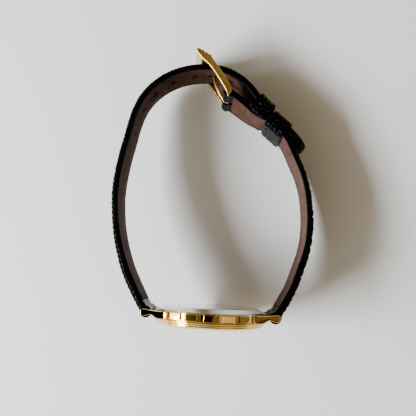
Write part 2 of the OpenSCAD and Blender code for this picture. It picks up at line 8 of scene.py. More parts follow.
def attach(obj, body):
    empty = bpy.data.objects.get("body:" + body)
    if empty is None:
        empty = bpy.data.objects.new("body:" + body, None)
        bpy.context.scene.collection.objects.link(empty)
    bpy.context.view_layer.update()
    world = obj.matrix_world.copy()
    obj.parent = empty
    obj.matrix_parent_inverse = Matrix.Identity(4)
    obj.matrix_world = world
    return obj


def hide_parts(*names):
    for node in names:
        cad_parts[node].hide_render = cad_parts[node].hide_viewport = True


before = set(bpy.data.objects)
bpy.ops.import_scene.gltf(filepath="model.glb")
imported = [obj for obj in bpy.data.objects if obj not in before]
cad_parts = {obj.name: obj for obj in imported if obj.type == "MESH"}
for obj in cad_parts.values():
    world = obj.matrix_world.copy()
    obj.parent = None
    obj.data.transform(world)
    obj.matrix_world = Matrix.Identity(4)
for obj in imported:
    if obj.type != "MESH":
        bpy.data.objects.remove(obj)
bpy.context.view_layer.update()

# ---------------------------------------------------------------- placing
# Pieces are worked out in the watch frame in millimetres (X to 12 o'clock, Y out of the back, Z to 9
# o'clock) and put into the row frame with the pose the watch rests in.


def rx(a):
    return np.array([[1, 0, 0], [0, math.cos(a), -math.sin(a)], [0, math.sin(a), math.cos(a)]])


def ry(a):
    return np.array([[math.cos(a), 0, math.sin(a)], [0, 1, 0], [-math.sin(a), 0, math.cos(a)]])


def rz(a):
    return np.array([[math.cos(a), -math.sin(a), 0], [math.sin(a), math.cos(a), 0], [0, 0, 1]])


REST = rx(math.radians(-8.28)) @ ry(math.radians(8.17))
SHIFT = np.array([0.818, -31.656, 16.311])
BAR = np.array([1.7, 56.45, 0.0])
BUCKLE = rz(math.radians(123.6)) @ rx(math.radians(3.3))
STEM_Z = 0.3


def row(v):
    return (np.asarray(v, float) @ REST.T + SHIFT) / 1000


def from_case(v):
    v = np.asarray(v, float)
    return np.stack([v[:, 0], -v[:, 2], v[:, 1]], 1)


def from_buckle(v):
    return np.asarray(v, float) @ BUCKLE.T + BAR


def from_stem(v):
    """x, y, z with z pointing out of the crown."""
    v = np.asarray(v, float)
    return from_case(np.stack([v[:, 0], -v[:, 2], v[:, 1] + STEM_Z], 1))


# ---------------------------------------------------------------- numbers


def hash01(i, j, k=0):
    v = np.sin(i * 127.1 + j * 311.7 + k * 74.7) * 43758.5453
    return v - np.floor(v)


def smooth(a, b, x):
    t = np.clip((x - a) / (b - a), 0, 1)
    return t * t * (3 - 2 * t)


def noise2(x, y, seed=0):
    """Smooth value noise, 0 to 1."""
    xi, yi = np.floor(x), np.floor(y)
    xf, yf = x - xi, y - yi
    u, v = xf * xf * (3 - 2 * xf), yf * yf * (3 - 2 * yf)
    a, b = hash01(xi, yi, seed), hash01(xi + 1, yi, seed)
    c, d = hash01(xi, yi + 1, seed), hash01(xi + 1, yi + 1, seed)
    return a + (b - a) * u + (c - a) * v + (a - b - c + d) * u * v


def fbm(x, y, seed=0, n=3):
    s, amp = 0, 0.5
    for k in range(n):
        s = s + amp * noise2(x * 2 ** k, y * 2 ** k, seed + 13 * k)
        amp *= 0.5
    return s / (1 - 0.5 ** n)


def scales(u, v, seed=0, jitter=0.5, dome=0.28):
    """Rounded reptile scales in staggered rows: height 0 in the grooves to about 1, and a number per scale."""
    j0, best, second, who = np.floor(v), np.full(u.shape, 9.0), np.full(u.shape, 9.0), np.zeros(u.shape)
    for dj in (-1, 0, 1):
        j = j0 + dj
        odd = np.mod(j, 2) * 0.5
        i0 = np.floor(u - odd)
        for di in (-1, 0, 1):
            i = i0 + di
            cx = i + odd + 0.5 + jitter * (hash01(i, j, seed) - 0.5)
            cy = j + 0.5 + jitter * (hash01(i, j, seed + 5) - 0.5) * 0.8
            # a little squarer than round
            dx, dy = np.abs(u - cx), np.abs(v - cy)
            d = (dx ** 2.4 + dy ** 2.4) ** (1 / 2.4)
            closer = d < best
            second = np.where(closer, best, np.minimum(second, d))
            who = np.where(closer, hash01(i, j, seed + 9), who)
            best = np.where(closer, d, best)
    edge = second - best
    top = smooth(0.0, 0.3, edge)
    return top * (1 - dome * np.clip(best / 0.75, 0, 1) ** 2), who


# ---------------------------------------------------------------- meshes


def signed(V, F):
    s = 0.0
    for f in F:
        a = V[f[0]]
        for i in range(1, len(f) - 1):
            s += float(np.dot(a, np.cross(V[f[i]], V[f[i + 1]])))
    return s


def mesh_object(name, V, F, place=row, deg=30, attrs=None):
    V = np.asarray(V, float)
    step = max(1, len(F) // 60000)
    if signed(V - V.mean(0), F[::step] if step > 1 else F) < 0:
        F = [f[::-1] for f in F]
    me = bpy.data.meshes.new(name)
    me.from_pydata(place(V).tolist(), [], [tuple(int(i) for i in f) for f in F])
    me.update()
    for key, val in (attrs or {}).items():
        a = me.attributes.new(key, "FLOAT", "POINT")
        a.data.foreach_set("value", np.ascontiguousarray(np.asarray(val).reshape(-1), dtype=np.float32))
    soften(me, deg)
    ob = bpy.data.objects.new(name, me)
    bpy.context.scene.collection.objects.link(ob)
    return ob


def soften(me, deg):
    me.polygons.foreach_set("use_smooth", [True] * len(me.polygons))
    me.set_sharp_from_angle(angle=math.radians(deg))
    me.update()


def rings(P, loop=False, caps=True):
    """Faces between rows of rings. P is rows x points x 3."""
    m, k, _ = P.shape
    i = np.arange(m if loop else m - 1)[:, None]
    j = np.arange(k)[None, :]
    n = (i + 1) % m
    F = np.stack([i * k + j, i * k + (j + 1) % k, n * k + (j + 1) % k, n * k + j], -1).reshape(-1, 4).tolist()
    if caps and not loop:
        F += [list(range(k))[::-1], list(range((m - 1) * k, m * k))]
    return P.reshape(-1, 3), F


def combine(parts):
    V, F, n = [], [], 0
    for v, f in parts:
        V.append(np.asarray(v, float))
        F += [[i + n for i in g] for g in f]
        n += len(v)
    return np.vstack(V), F


def cut(ob, others, operation="DIFFERENCE", deg=30):
    """Applies booleans and throws the cutters away."""
    for o in others:
        m = ob.modifiers.new("b", "BOOLEAN")
        m.operation = operation
        m.solver = "MANIFOLD"
        m.object = o
    dg = bpy.context.evaluated_depsgraph_get()
    me = bpy.data.meshes.new_from_object(ob.evaluated_get(dg))
    ob.modifiers.clear()
    old = ob.data
    ob.data = me
    bpy.data.meshes.remove(old)
    for o in others:
        d = o.data
        bpy.data.objects.remove(o)
        bpy.data.meshes.remove(d)
    soften(me, deg)
    return ob


def rounded(poly, radius, n=4):
    """Outline with each corner turned into an arc. radius is a number or one per corner."""
    P = np.asarray(poly, float)
    R = np.broadcast_to(np.asarray(radius, float), (len(P),))
    out = []
    for i in range(len(P)):
        a, b, c = P[i - 1], P[i], P[(i + 1) % len(P)]
        u, v = a - b, c - b
        lu, lv = np.linalg.norm(u), np.linalg.norm(v)
        u, v = u / lu, v / lv
        ang = math.acos(float(np.clip(u @ v, -1, 1)))
        if R[i] <= 0 or ang > math.radians(176):
            out.append(b)
            continue
        t = min(R[i] / math.tan(ang / 2), 0.48 * lu, 0.48 * lv)
        r = t * math.tan(ang / 2)
        mid = (u + v) / np.linalg.norm(u + v)
        ctr = b + mid * (r / math.sin(ang / 2))
        p, q = b + u * t - ctr, b + v * t - ctr
        a0 = math.atan2(p[1], p[0])
        d = math.atan2(q[1], q[0]) - a0
        d = (d + math.pi) % (2 * math.pi) - math.pi
        for k in range(n + 1):
            w = a0 + d * k / n
            out.append(ctr + r * np.array([math.cos(w), math.sin(w)]))
    return np.array(out)


def catmull(P, n, closed=False):
    P = np.asarray(P, float)
    m = len(P)
    out = []
    for i in range(m if closed else m - 1):
        if closed:
            a, b, c, d = P[i - 1], P[i], P[(i + 1) % m], P[(i + 2) % m]
        else:
            a, b, c, d = P[max(i - 1, 0)], P[i], P[i + 1], P[min(i + 2, m - 1)]
        for k in range(n):
            t = k / n
            out.append(0.5 * (2 * b + (c - a) * t + (2 * a - 5 * b + 4 * c - d) * t * t + (3 * b - a - 3 * c + d) * t ** 3))
    if not closed:
        out.append(P[-1])
    return np.array(out)


def prism(outline, z0, z1, r=0.12, n=4):
    """Outline pulled along z with its rims rounded."""
    P = np.asarray(outline, float)
    area = 0.5 * np.sum(P[:, 0] * np.roll(P[:, 1], -1) - P[:, 1] * np.roll(P[:, 0], -1))
    if area < 0:
        P = P[::-1]
    e1 = P - np.roll(P, 1, 0)
    e2 = np.roll(P, -1, 0) - P
    e1 /= np.linalg.norm(e1, axis=1)[:, None]
    e2 /= np.linalg.norm(e2, axis=1)[:, None]
    nn = np.stack([e1[:, 1] + e2[:, 1], -(e1[:, 0] + e2[:, 0])], 1)
    nn /= np.linalg.norm(nn, axis=1)[:, None]
    cosh = np.clip(nn[:, 0] * e2[:, 1] - nn[:, 1] * e2[:, 0], 0.6, 1)[:, None]
    rows_ = []
    for k in range(n + 1):
        f = math.pi / 2 * k / n
        rows_.append((r * (1 - math.sin(f)), z0 + r * (1 - math.cos(f))))
    rows_ += [(o, z1 - (z - z0)) for o, z in reversed(rows_)]
    R = np.stack([np.concatenate([P - nn / cosh * o, np.full((len(P), 1), z)], 1) for o, z in rows_])
    return rings(R)


def lathe(profile, n=192, wave=None):
    """Profile of (r, z) turned about z. An open profile begins and ends on the axis."""
    P = np.asarray(profile, float)
    loop = np.linalg.norm(P[0] - P[-1]) > 1e-9 and P[0][0] > 0.02
    a = np.arange(n) * 2 * math.pi / n
    r = P[:, 0][:, None] * np.ones(n)
    if wave is not None:
        r = wave(r, P[:, 1][:, None], a[None, :])
    r = np.maximum(r, 0.002)
    R = np.stack([r * np.cos(a), r * np.sin(a), P[:, 1][:, None] * np.ones(n)], -1)
    return rings(R, loop=loop)


def circle(r, n=32, c=(0, 0)):
    a = np.arange(n) * 2 * math.pi / n
    return np.stack([c[0] + r * np.cos(a), c[1] + r * np.sin(a)], 1)


def turned(V, a):
    return np.asarray(V) @ rz(a).T


def along_y(V, y0):
    """A prism made along z, laid along y: z runs to y0 - z."""
    V = np.asarray(V, float)
    return np.stack([V[:, 0], y0 - V[:, 2], V[:, 1]], 1)


def box_at(lo, hi):
    V = np.array([[x, y, z] for z in (lo[2], hi[2]) for y in (lo[1], hi[1]) for x in (lo[0], hi[0])], float)
    return V, [[0, 2, 3, 1], [4, 5, 7, 6], [0, 1, 5, 4], [2, 6, 7, 3], [0, 4, 6, 2], [1, 3, 7, 5]]


# ---------------------------------------------------------------- materials


class Paint:
    """A Principled material with a few helpers."""

    def __init__(self, name, colour, rough, metal=0.0, **more):
        self.m = bpy.data.materials.new(name)
        self.m.use_nodes = True
        self.t = self.m.node_tree
        self.t.nodes.clear()
        out = self.t.nodes.new("ShaderNodeOutputMaterial")
        self.b = self.t.nodes.new("ShaderNodeBsdfPrincipled")
        self.t.links.new(self.b.outputs[0], out.inputs["Surface"])
        self.b.inputs["Base Color"].default_value = (*colour, 1)
        self.b.inputs["Roughness"].default_value = rough
        self.b.inputs["Metallic"].default_value = metal
        for k, v in more.items():
            self.b.inputs[k.replace("_", " ")].default_value = v
        self.c = self.t.nodes.new("ShaderNodeTexCoord").outputs["Object"]

    def link(self, a, b):
        self.t.links.new(a, b)

    def stretch(self, scale, rot=(0, 0, 0)):
        n = self.t.nodes.new("ShaderNodeMapping")
        n.inputs["Scale"].default_value = scale
        n.inputs["Rotation"].default_value = rot
        self.link(self.c, n.inputs["Vector"])
        return n.outputs[0]

    def noise(self, per_mm, detail=3, rough=0.5, vec=None, distortion=0.0):
        n = self.t.nodes.new("ShaderNodeTexNoise")
        n.inputs["Scale"].default_value = per_mm * 1000
        n.inputs["Detail"].default_value = detail
        n.inputs["Roughness"].default_value = rough
        n.inputs["Distortion"].default_value = distortion
        self.link(vec if vec is not None else self.c, n.inputs["Vector"])
        return n.outputs[0]

    def cells(self, per_mm, feature="F1", vec=None, rnd=1.0):
        n = self.t.nodes.new("ShaderNodeTexVoronoi")
        n.feature = feature
        n.inputs["Scale"].default_value = per_mm * 1000
        n.inputs["Randomness"].default_value = rnd
        self.link(vec if vec is not None else self.c, n.inputs["Vector"])
        return n.outputs["Distance"]

    def attr(self, name):
        n = self.t.nodes.new("ShaderNodeAttribute")
        n.attribute_name = name
        return n.outputs["Fac"]

    def ramp(self, fac, stops):
        n = self.t.nodes.new("ShaderNodeValToRGB")
        e = n.color_ramp.elements
        while len(e) < len(stops):
            e.new(0.5)
        for s, (p, c) in zip(e, stops):
            s.position = p
            s.color = (*c, 1) if len(c) == 3 else c
        self.link(fac, n.inputs[0])
        return n.outputs[0]

    def span(self, fac, a, b, lo, hi):
        n = self.t.nodes.new("ShaderNodeMapRange")
        for i, v in zip(range(1, 5), (a, b, lo, hi)):
            n.inputs[i].default_value = v
        self.link(fac, n.inputs[0])
        return n.outputs[0]

    def math(self, op, a, b=None, clamp=False):
        n = self.t.nodes.new("ShaderNodeMath")
        n.operation = op
        n.use_clamp = clamp
        for i, v in enumerate((a, b)):
            if v is None:
                continue
            if isinstance(v, (int, float)):
                n.inputs[i].default_value = v
            else:
                self.link(v, n.inputs[i])
        return n.outputs[0]

    def mix(self, fac, a, b, blend="MIX"):
        n = self.t.nodes.new("ShaderNodeMix")
        n.data_type = "RGBA"
        n.blend_type = blend
        if isinstance(fac, (int, float)):
            n.inputs[0].default_value = fac
        else:
            self.link(fac, n.inputs[0])
        for s, v in ((n.inputs[6], a), (n.inputs[7], b)):
            if isinstance(v, tuple):
                s.default_value = (*v, 1)
            else:
                self.link(v, s)
        return n.outputs[2]

    def bump(self, height, strength=0.5, mm=0.05, normal=None):
        n = self.t.nodes.new("ShaderNodeBump")
        n.inputs["Strength"].default_value = strength
        n.inputs["Distance"].default_value = mm / 1000
        self.link(height, n.inputs["Height"])
        if normal is not None:
            self.link(normal, n.inputs["Normal"])
        self.link(n.outputs[0], self.b.inputs["Normal"])
        return n.outputs[0]

    def colour(self, out):
        self.link(out, self.b.inputs["Base Color"])

    def rough(self, out):
        self.link(out, self.b.inputs["Roughness"])


def polished(name, colour, deep, rough, spread=0.06, wave=0.012, **more):
    """Polished metal: faint waviness, hairlines and a little haze."""
    p = Paint(name, colour, rough, 1.0, **more)
    haze = p.noise(0.35, 4, 0.6)
    p.colour(p.ramp(haze, [(0.3, deep), (0.75, colour)]))
    hair = p.noise(5, 2, 0.6, p.stretch((1, 9, 1), (0.3, 0.2, 0.5)))
    p.rough(p.span(p.math("ADD", haze, p.math("MULTIPLY", hair, 0.5)), 0.4, 1.1, rough - spread / 2, rough + spread))
    n = p.bump(p.noise(0.45, 2, 0.5), 0.35, wave)
    p.bump(hair, 0.06, 0.01, n)
    return p.m


def brushed(name, colour, deep, rough, axis, **more):
    p = Paint(name, colour, rough, 1.0, **more)
    lines = p.noise(9, 3, 0.7, p.stretch(axis))
    p.colour(p.ramp(lines, [(0.25, deep), (0.8, colour)]))
    p.rough(p.span(lines, 0.2, 0.8, rough - 0.06, rough + 0.1))
    p.bump(lines, 0.25, 0.012)
    return p.m


def moulded(name, colour, deep, rough, **more):
    p = Paint(name, colour, rough, 0.0, **more)
    n = p.noise(1.2, 4, 0.6)
    p.colour(p.ramp(n, [(0.3, deep), (0.75, colour)]))
    p.rough(p.span(n, 0.3, 0.8, rough - 0.07, rough + 0.08))
    p.bump(p.noise(18, 2, 0.5), 0.2, 0.01)
    return p.m


GOLD = (0.82, 0.60, 0.21)
GOLD_DEEP = (0.74, 0.52, 0.16)
STEEL = (0.66, 0.65, 0.63)

M = {}
M["gold_case"] = polished("gold_case", GOLD, GOLD_DEEP, 0.035, 0.02, 0.002)
M["gold_crown"] = polished("gold_crown", GOLD, GOLD_DEEP, 0.16)


def buckle_gold():
    p = Paint("gold_buckle", GOLD, 0.2, 1.0)
    haze = p.noise(0.5, 4, 0.6)
    p.colour(p.ramp(haze, [(0.3, (0.66, 0.43, 0.11)), (0.75, (0.88, 0.63, 0.22))]))
    hair = p.noise(6, 3, 0.7, p.stretch((1, 7, 1), (0.0, 0.0, 0.9)))
    p.rough(p.span(p.math("ADD", haze, p.math("MULTIPLY", hair, 0.6)), 0.4, 1.2, 0.12, 0.28))
    n = p.bump(haze, 0.3, 0.01)
    p.bump(hair, 0.12, 0.01, n)
    return p.m


M["gold_buckle"] = buckle_gold()


def back_steel():
    """Turned steel: fine rings about the case axis with a soft sheen."""
    p = Paint("steel_back", STEEL, 0.07, 1.0)
    fine = p.noise(7, 3, 0.65, p.stretch((1, 0.25, 1)))
    haze = p.noise(0.25, 3, 0.5)
    p.colour(p.ramp(p.math("ADD", p.math("MULTIPLY", fine, 0.4), p.math("MULTIPLY", haze, 0.6)),
                    [(0.3, (0.60, 0.59, 0.57)), (0.7, (0.74, 0.73, 0.71))]))
    p.rough(p.span(fine, 0.25, 0.8, 0.045, 0.1))
    n = p.bump(fine, 0.04, 0.006)
    p.bump(p.noise(0.5, 3, 0.6, p.stretch((1, 1, 4), (0.4, 0.1, 0.7))), 0.06, 0.01, n)
    return p.m


M["steel_back"] = back_steel()
M["movement_steel"] = polished("movement_steel", (0.64, 0.63, 0.62), (0.45, 0.45, 0.45), 0.25)
M["spring_bar_steel"] = brushed("spring_bar_steel", (0.62, 0.61, 0.60), (0.40, 0.40, 0.40), 0.3, (1, 1, 0.2))
M["battery_steel"] = brushed("battery_steel", (0.62, 0.62, 0.63), (0.48, 0.48, 0.5), 0.32, (1, 0.3, 1))
M["rotor_magnet"] = moulded("rotor_magnet", (0.16, 0.16, 0.17), (0.08, 0.08, 0.09), 0.4, Metallic=0.6)
M["movement_brass"] = brushed("movement_brass", (0.72, 0.55, 0.25), (0.5, 0.35, 0.13), 0.3, (1, 1, 0.2))
M["coil_copper"] = brushed("coil_copper", (0.72, 0.33, 0.16), (0.42, 0.16, 0.07), 0.35, (1, 0.15, 1))
M["circuit_green"] = moulded("circuit_green", (0.02, 0.16, 0.06), (0.01, 0.08, 0.03), 0.35)
M["chip_black"] = moulded("chip_black", (0.02, 0.02, 0.022), (0.01, 0.01, 0.01), 0.4)
M["seal_rubber"] = moulded("seal_rubber", (0.02, 0.02, 0.02), (0.008, 0.008, 0.008), 0.6)
M["movement_plastic"] = moulded("movement_plastic", (0.72, 0.71, 0.66), (0.55, 0.54, 0.49), 0.45)


def glass():
    p = Paint("crystal_glass", (0.25, 0.27, 0.28), 0.03, 0.0, IOR=2.3, Alpha=0.2)
    n = p.noise(0.2, 3, 0.6)
    p.rough(p.span(n, 0.3, 0.8, 0.015, 0.05))
    p.bump(p.noise(0.12, 2, 0.5), 0.05, 0.01)
    return p.m


M["crystal_glass"] = glass()


def dial_finish():
    """Warm off-white enamel with a faint satin sheen."""
    p = Paint("dial_enamel", (0.86, 0.84, 0.78), 0.3, 0.0)
    n = p.noise(0.25, 4, 0.6)
    f = p.noise(6, 3, 0.7)
    p.colour(p.ramp(p.math("ADD", p.math("MULTIPLY", n, 0.7), p.math("MULTIPLY", f, 0.3)),
                    [(0.3, (0.80, 0.77, 0.70)), (0.7, (0.88, 0.86, 0.80))]))
    p.rough(p.span(f, 0.3, 0.8, 0.24, 0.36))
    p.b.inputs["Coat Weight"].default_value = 0.4
    p.b.inputs["Coat Roughness"].default_value = 0.1
    p.bump(p.noise(12, 2, 0.5), 0.06, 0.01)
    return p.m


M["dial_enamel"] = dial_finish()
M["gold_markers"] = polished("gold_markers", (0.90, 0.62, 0.24), (0.72, 0.45, 0.13), 0.12, 0.05, 0.006)


def black_hide(name, gloss=0.16, level=0.06):
    """Glazed black reptile grain: shiny scale tops, matt grooves, a faint dusty bloom."""
    p = Paint(name, (0.0025, 0.0025, 0.0028), gloss, 0.0)
    p.b.inputs["Specular IOR Level"].default_value = level
    g = p.attr("grain")
    fine = p.noise(5, 4, 0.65)
    dust = p.noise(0.6, 4, 0.6)
    top = p.mix(dust, (0.0004, 0.0004, 0.0005), (0.0017, 0.0017, 0.0021))
    p.colour(p.mix(p.span(g, 0.1, 0.6, 0, 1), (0.0004, 0.0004, 0.0004), top))
    r = p.span(g, 0.1, 0.7, 0.4, gloss)
    r = p.math("ADD", r, p.math("MULTIPLY", p.attr("matt"), 0.12))
    p.rough(p.math("ADD", r, p.math("MULTIPLY", p.math("SUBTRACT", fine, 0.5), 0.16)))
    n = p.bump(fine, 0.35, 0.03)
    p.bump(p.cells(9, "F1"), 0.2, 0.012, n)
    return p.m


M["black_leather"] = black_hide("black_leather")
M["keeper_leather"] = black_hide("keeper_leather", 0.11, 0.045)


def lining_hide():
    """Brown-mauve calf lining: pores, fine creases across the strap with painted shade in them, rubbed lighter where
    it bends; a painted floor reflection lightens one side and painted shade darkens the lining in the gap under the
    tail.
    """
    p = Paint("lining_leather", (0.15, 0.085, 0.07), 0.6, 0.0)
    wear_and_painted_light = p.attr("wear_and_painted_light")
    painted_shade_and_dark_rim = p.attr("painted_shade_and_dark_rim")
    tone = p.noise(0.35, 5, 0.6)
    fibre = p.noise(4.5, 4, 0.7)
    base = p.ramp(tone, [(0.28, (0.027, 0.010, 0.006)), (0.5, (0.052, 0.021, 0.013)), (0.75, (0.078, 0.035, 0.023))])
    worn_and_lit_colour = p.ramp(fibre, [(0.3, (0.070, 0.039, 0.031)), (0.8, (0.125, 0.077, 0.064))])
    # lighter where rubbed, and towards the long piece's -Z edge by a painted floor reflection
    c = p.mix(p.math("MULTIPLY", wear_and_painted_light, 1.0, True), base, worn_and_lit_colour)
    # painted shade along the creases and under the tail, and darker near the edges
    c = p.mix(p.math("MULTIPLY", painted_shade_and_dark_rim, 0.75, True), c, (0.010, 0.004, 0.003))
    pores = p.span(p.cells(3.2, "F1"), 0.0, 0.28, 1, 0)
    c = p.mix(p.math("MULTIPLY", pores, 0.4), c, (0.012, 0.006, 0.004))
    p.colour(c)
    p.rough(p.span(fibre, 0.3, 0.8, 0.68, 0.86))
    p.b.inputs["Specular IOR Level"].default_value = 0.04
    n = p.bump(fibre, 0.35, 0.03)
    p.bump(pores, -0.3, 0.02, n)
    return p.m


M["lining_leather"] = lining_hide()


def floor_finish():
    p = Paint("floor_paper", (0.80, 0.80, 0.80), 0.62, 0.0)
    n = p.noise(0.004, 3, 0.5)
    p.colour(p.ramp(n, [(0.3, (0.785, 0.785, 0.785)), (0.7, (0.815, 0.815, 0.812))]))
    p.bump(p.noise(1.2, 3, 0.5), 0.05, 0.02)
    return p.m


# ---------------------------------------------------------------- strap

LONG = [(-16.0, 0.2, 1.0), (-17.1, 1.7, 0.95), (-18.1, 3.4, 0.95), (-19.2, 5.4, 1.0), (-20.6, 8.1, 1.0),
        (-21.8, 10.7, 0.98), (-23.0, 14.1, 0.9), (-24.1, 18.1, 0.83), (-24.9, 22.4, 0.78),
        (-25.4, 27.5, 0.75), (-25.4, 31, 0.75), (-25.0, 35.2, 0.75), (-24.2, 40, 0.75),
        (-23.1, 45, 0.75), (-22.2, 49.1, 0.75), (-21.1, 52.4, 0.75), (-19.6, 55.2, 0.75),
        (-17.2, 58.0, 0.75), (-14.0, 60.4, 0.75), (-10.2, 62.1, 0.75), (-6.1, 63.0, 0.75),
        (-2.0, 63.1, 0.75), (1.9, 62.2, 0.75), (5.45, 60.25, 0.75), (8.45, 57.4, 0.75),
        (10.6, 54.2, 0.75), (12.7, 51.73, 0.75), (14.5, 50.22, 0.75), (16.3, 48.7, 0.75),
        (18.1, 47.19, 0.75), (20.1, 45.3, 0.75), (22.0, 43.2, 0.75)]
SHORT = [(16.0, 0.2, 1.0), (16.9, 1.6, 0.9), (17.9, 3.25, 0.87), (18.85, 5.05, 0.85), (19.95, 7.25, 0.85),
         (20.85, 9.65, 0.85), (21.6, 11.95, 0.85), (22.45, 14.55, 0.84), (23.1, 17, 0.8),
         (23.6, 20, 0.76), (23.8, 24, 0.74), (23.55, 28, 0.7), (22.95, 32, 0.66),
         (21.85, 35.95, 0.65), (20.35, 39.45, 0.65), (18.87, 42.55, 0.68), (17.9, 44.7, 0.72),
         (16.8, 46.25, 0.75), (15.3, 47.5, 0.75), (13.5, 49.02, 0.75), (11.9, 50.3, 0.75),
         (10.0, 51.15, 0.75), (8.2, 52.1, 0.75), (6.6, 53.3, 0.75), (4.9, 54.6, 0.78),
         (3.3, 55.7, 0.85), (1.7, 56.45, 0.95)]
STEP = 0.16


class Route:
    """A strap piece's middle line: place, direction, outward normal and half thickness by distance."""

    def __init__(self, points, side):
        P = catmull(points, 24)
        d = np.concatenate([[0], np.cumsum(np.linalg.norm(np.diff(P[:, :2], axis=0), axis=1))])
        self.P, self.d, self.side, self.length = P, d, side, d[-1]
        self.knots = d[::24]

    def at_index(self, i):
        """Distance of the CAD's spline index i, four to a point."""
        return float(np.interp(i / 4, np.arange(len(self.knots)), self.knots))

    def sample(self, s):
        s = np.asarray(s, float)
        sc = np.clip(s, 0, self.length)
        c = np.stack([np.interp(sc, self.d, self.P[:, k]) for k in (0, 1)], 1)
        e = 0.35
        a = np.stack([np.interp(np.clip(sc - e, 0, self.length), self.d, self.P[:, k]) for k in (0, 1)], 1)
        b = np.stack([np.interp(np.clip(sc + e, 0, self.length), self.d, self.P[:, k]) for k in (0, 1)], 1)
        t = b - a
        t /= np.linalg.norm(t, axis=1)[:, None]
        c = c + t * (s - sc)[:, None]
        n = np.stack([-t[:, 1], t[:, 0]], 1) * self.side
        h = np.interp(sc, self.d, self.P[:, 2])
        w = np.interp(c[:, 1], [-3, 55], [6.95, 6.0])
        return c, t, n, h, w


LR, SR = Route(LONG, 1), Route(SHORT, -1)
L_LINE0, S_LINE0, S_LINE1 = LR.at_index(6), SR.at_index(6), SR.at_index(100)
HOLES = [LR.at_index(i) for i in (54, 61, 67, 73, 79)]
SLOT, FAR = LR.at_index(84), LR.at_index(89)
LEAF = SR.at_index(86)


def place3(c, t, n, a, b, z, twist=None):
    """Points a along, b out and z across from centres c (all arrays of rows x points)."""
    if twist is not None:
        cs, sn = np.cos(twist)[:, None], np.sin(twist)[:, None]
        b, z = b * cs + z * sn, z * cs - b * sn
    x = c[:, 0][:, None] + a * t[:, 0][:, None] + b * n[:, 0][:, None]
    y = c[:, 1][:, None] + a * t[:, 1][:, None] + b * n[:, 1][:, None]
    return np.stack([x, y, z], -1)


def nose(s, radius, mid=0.0):
    """Half thickness of a rounded end of that radius centred at s = mid."""
    return np.sqrt(np.clip(radius ** 2 - (s - mid) ** 2, 0, None))


def strap_twist(name, s):
    if name == "short":
        return math.radians(4.6) * smooth(SR.length - 11.5, SR.length - 4.0, s)
    return np.zeros_like(s)


def strap_shape(name, s):
    """Half thickness, half width and recess depth for the lining."""
    R = LR if name == "long" else SR
    c, t, n, h, w = R.sample(s)
    end = R.length
    roll = nose(s, 1.5)
    h = np.where(s < 1.5, np.maximum(roll, np.where(s < 0, 0, h)), h)
    h = np.maximum(h, 0.03)
    lead = np.clip(-s / 1.5, 0, 1)
    w = w - 0.35 * (1 - np.sqrt(1 - lead ** 2 * 0.98))
    if name == "long":
        d = end - s
        w = np.minimum(w, np.interp(d, [0, 0.25, 0.6, 1.1, 1.7, 2.4, 3.2, 4.6, 6.5], [2.2, 3.05, 3.95, 4.6, 5.1, 5.5, 5.78, 6.05, 6.3]))
        h = np.minimum(h, 0.18 + (h - 0.18) * np.sqrt(np.clip(1 - (1 - np.clip(d / 0.7, 0, 1)) ** 2, 0, 1)))
        dep = 0.42 * smooth(L_LINE0 - 0.1, L_LINE0 + 0.1, s) * smooth(0.1, 0.35, d)
    else:
        e = s - end
        loop = nose(e, 1.32)
        h = np.where(e > -1.32, np.maximum(loop, np.where(e > 0, 0, h)), h)
        h = np.maximum(h, 0.03)
        lead = np.clip(e / 1.32, 0, 1)
        w = w - 0.3 * (1 - np.sqrt(1 - lead ** 2 * 0.98)) - 0.05 * smooth(-3, 0, e)
        dep = 0.42 * smooth(S_LINE0 - 0.1, S_LINE0 + 0.1, s) * smooth(S_LINE1 + 0.1, S_LINE1 - 0.1, s)
    return c, t, n, h, w, dep


def stations(name):
    R = LR if name == "long" else SR
    a = -1.5 * np.cos(np.linspace(0.06, math.pi / 2, 12))[:-1]
    mid = np.arange(0, R.length - (0.7 if name == "long" else 0.0), STEP)
    if name == "long":
        tail = R.length - 0.7 * (1 - np.sin(np.linspace(0.02, math.pi / 2, 9)))
    else:
        tail = R.length + 1.32 * np.sin(np.linspace(0, math.pi / 2 - 0.06, 12))
    s = np.concatenate([a, mid, tail])
    # rings at the ends of the lining
    for x in ([L_LINE0] if name == "long" else [S_LINE0, S_LINE1]):
        s = np.concatenate([s, [x - 0.11, x - 0.05, x + 0.05, x + 0.11]])
    s = np.unique(np.round(s, 4))
    keep = np.concatenate([[True], np.diff(s) > 0.02])
    return s[keep]


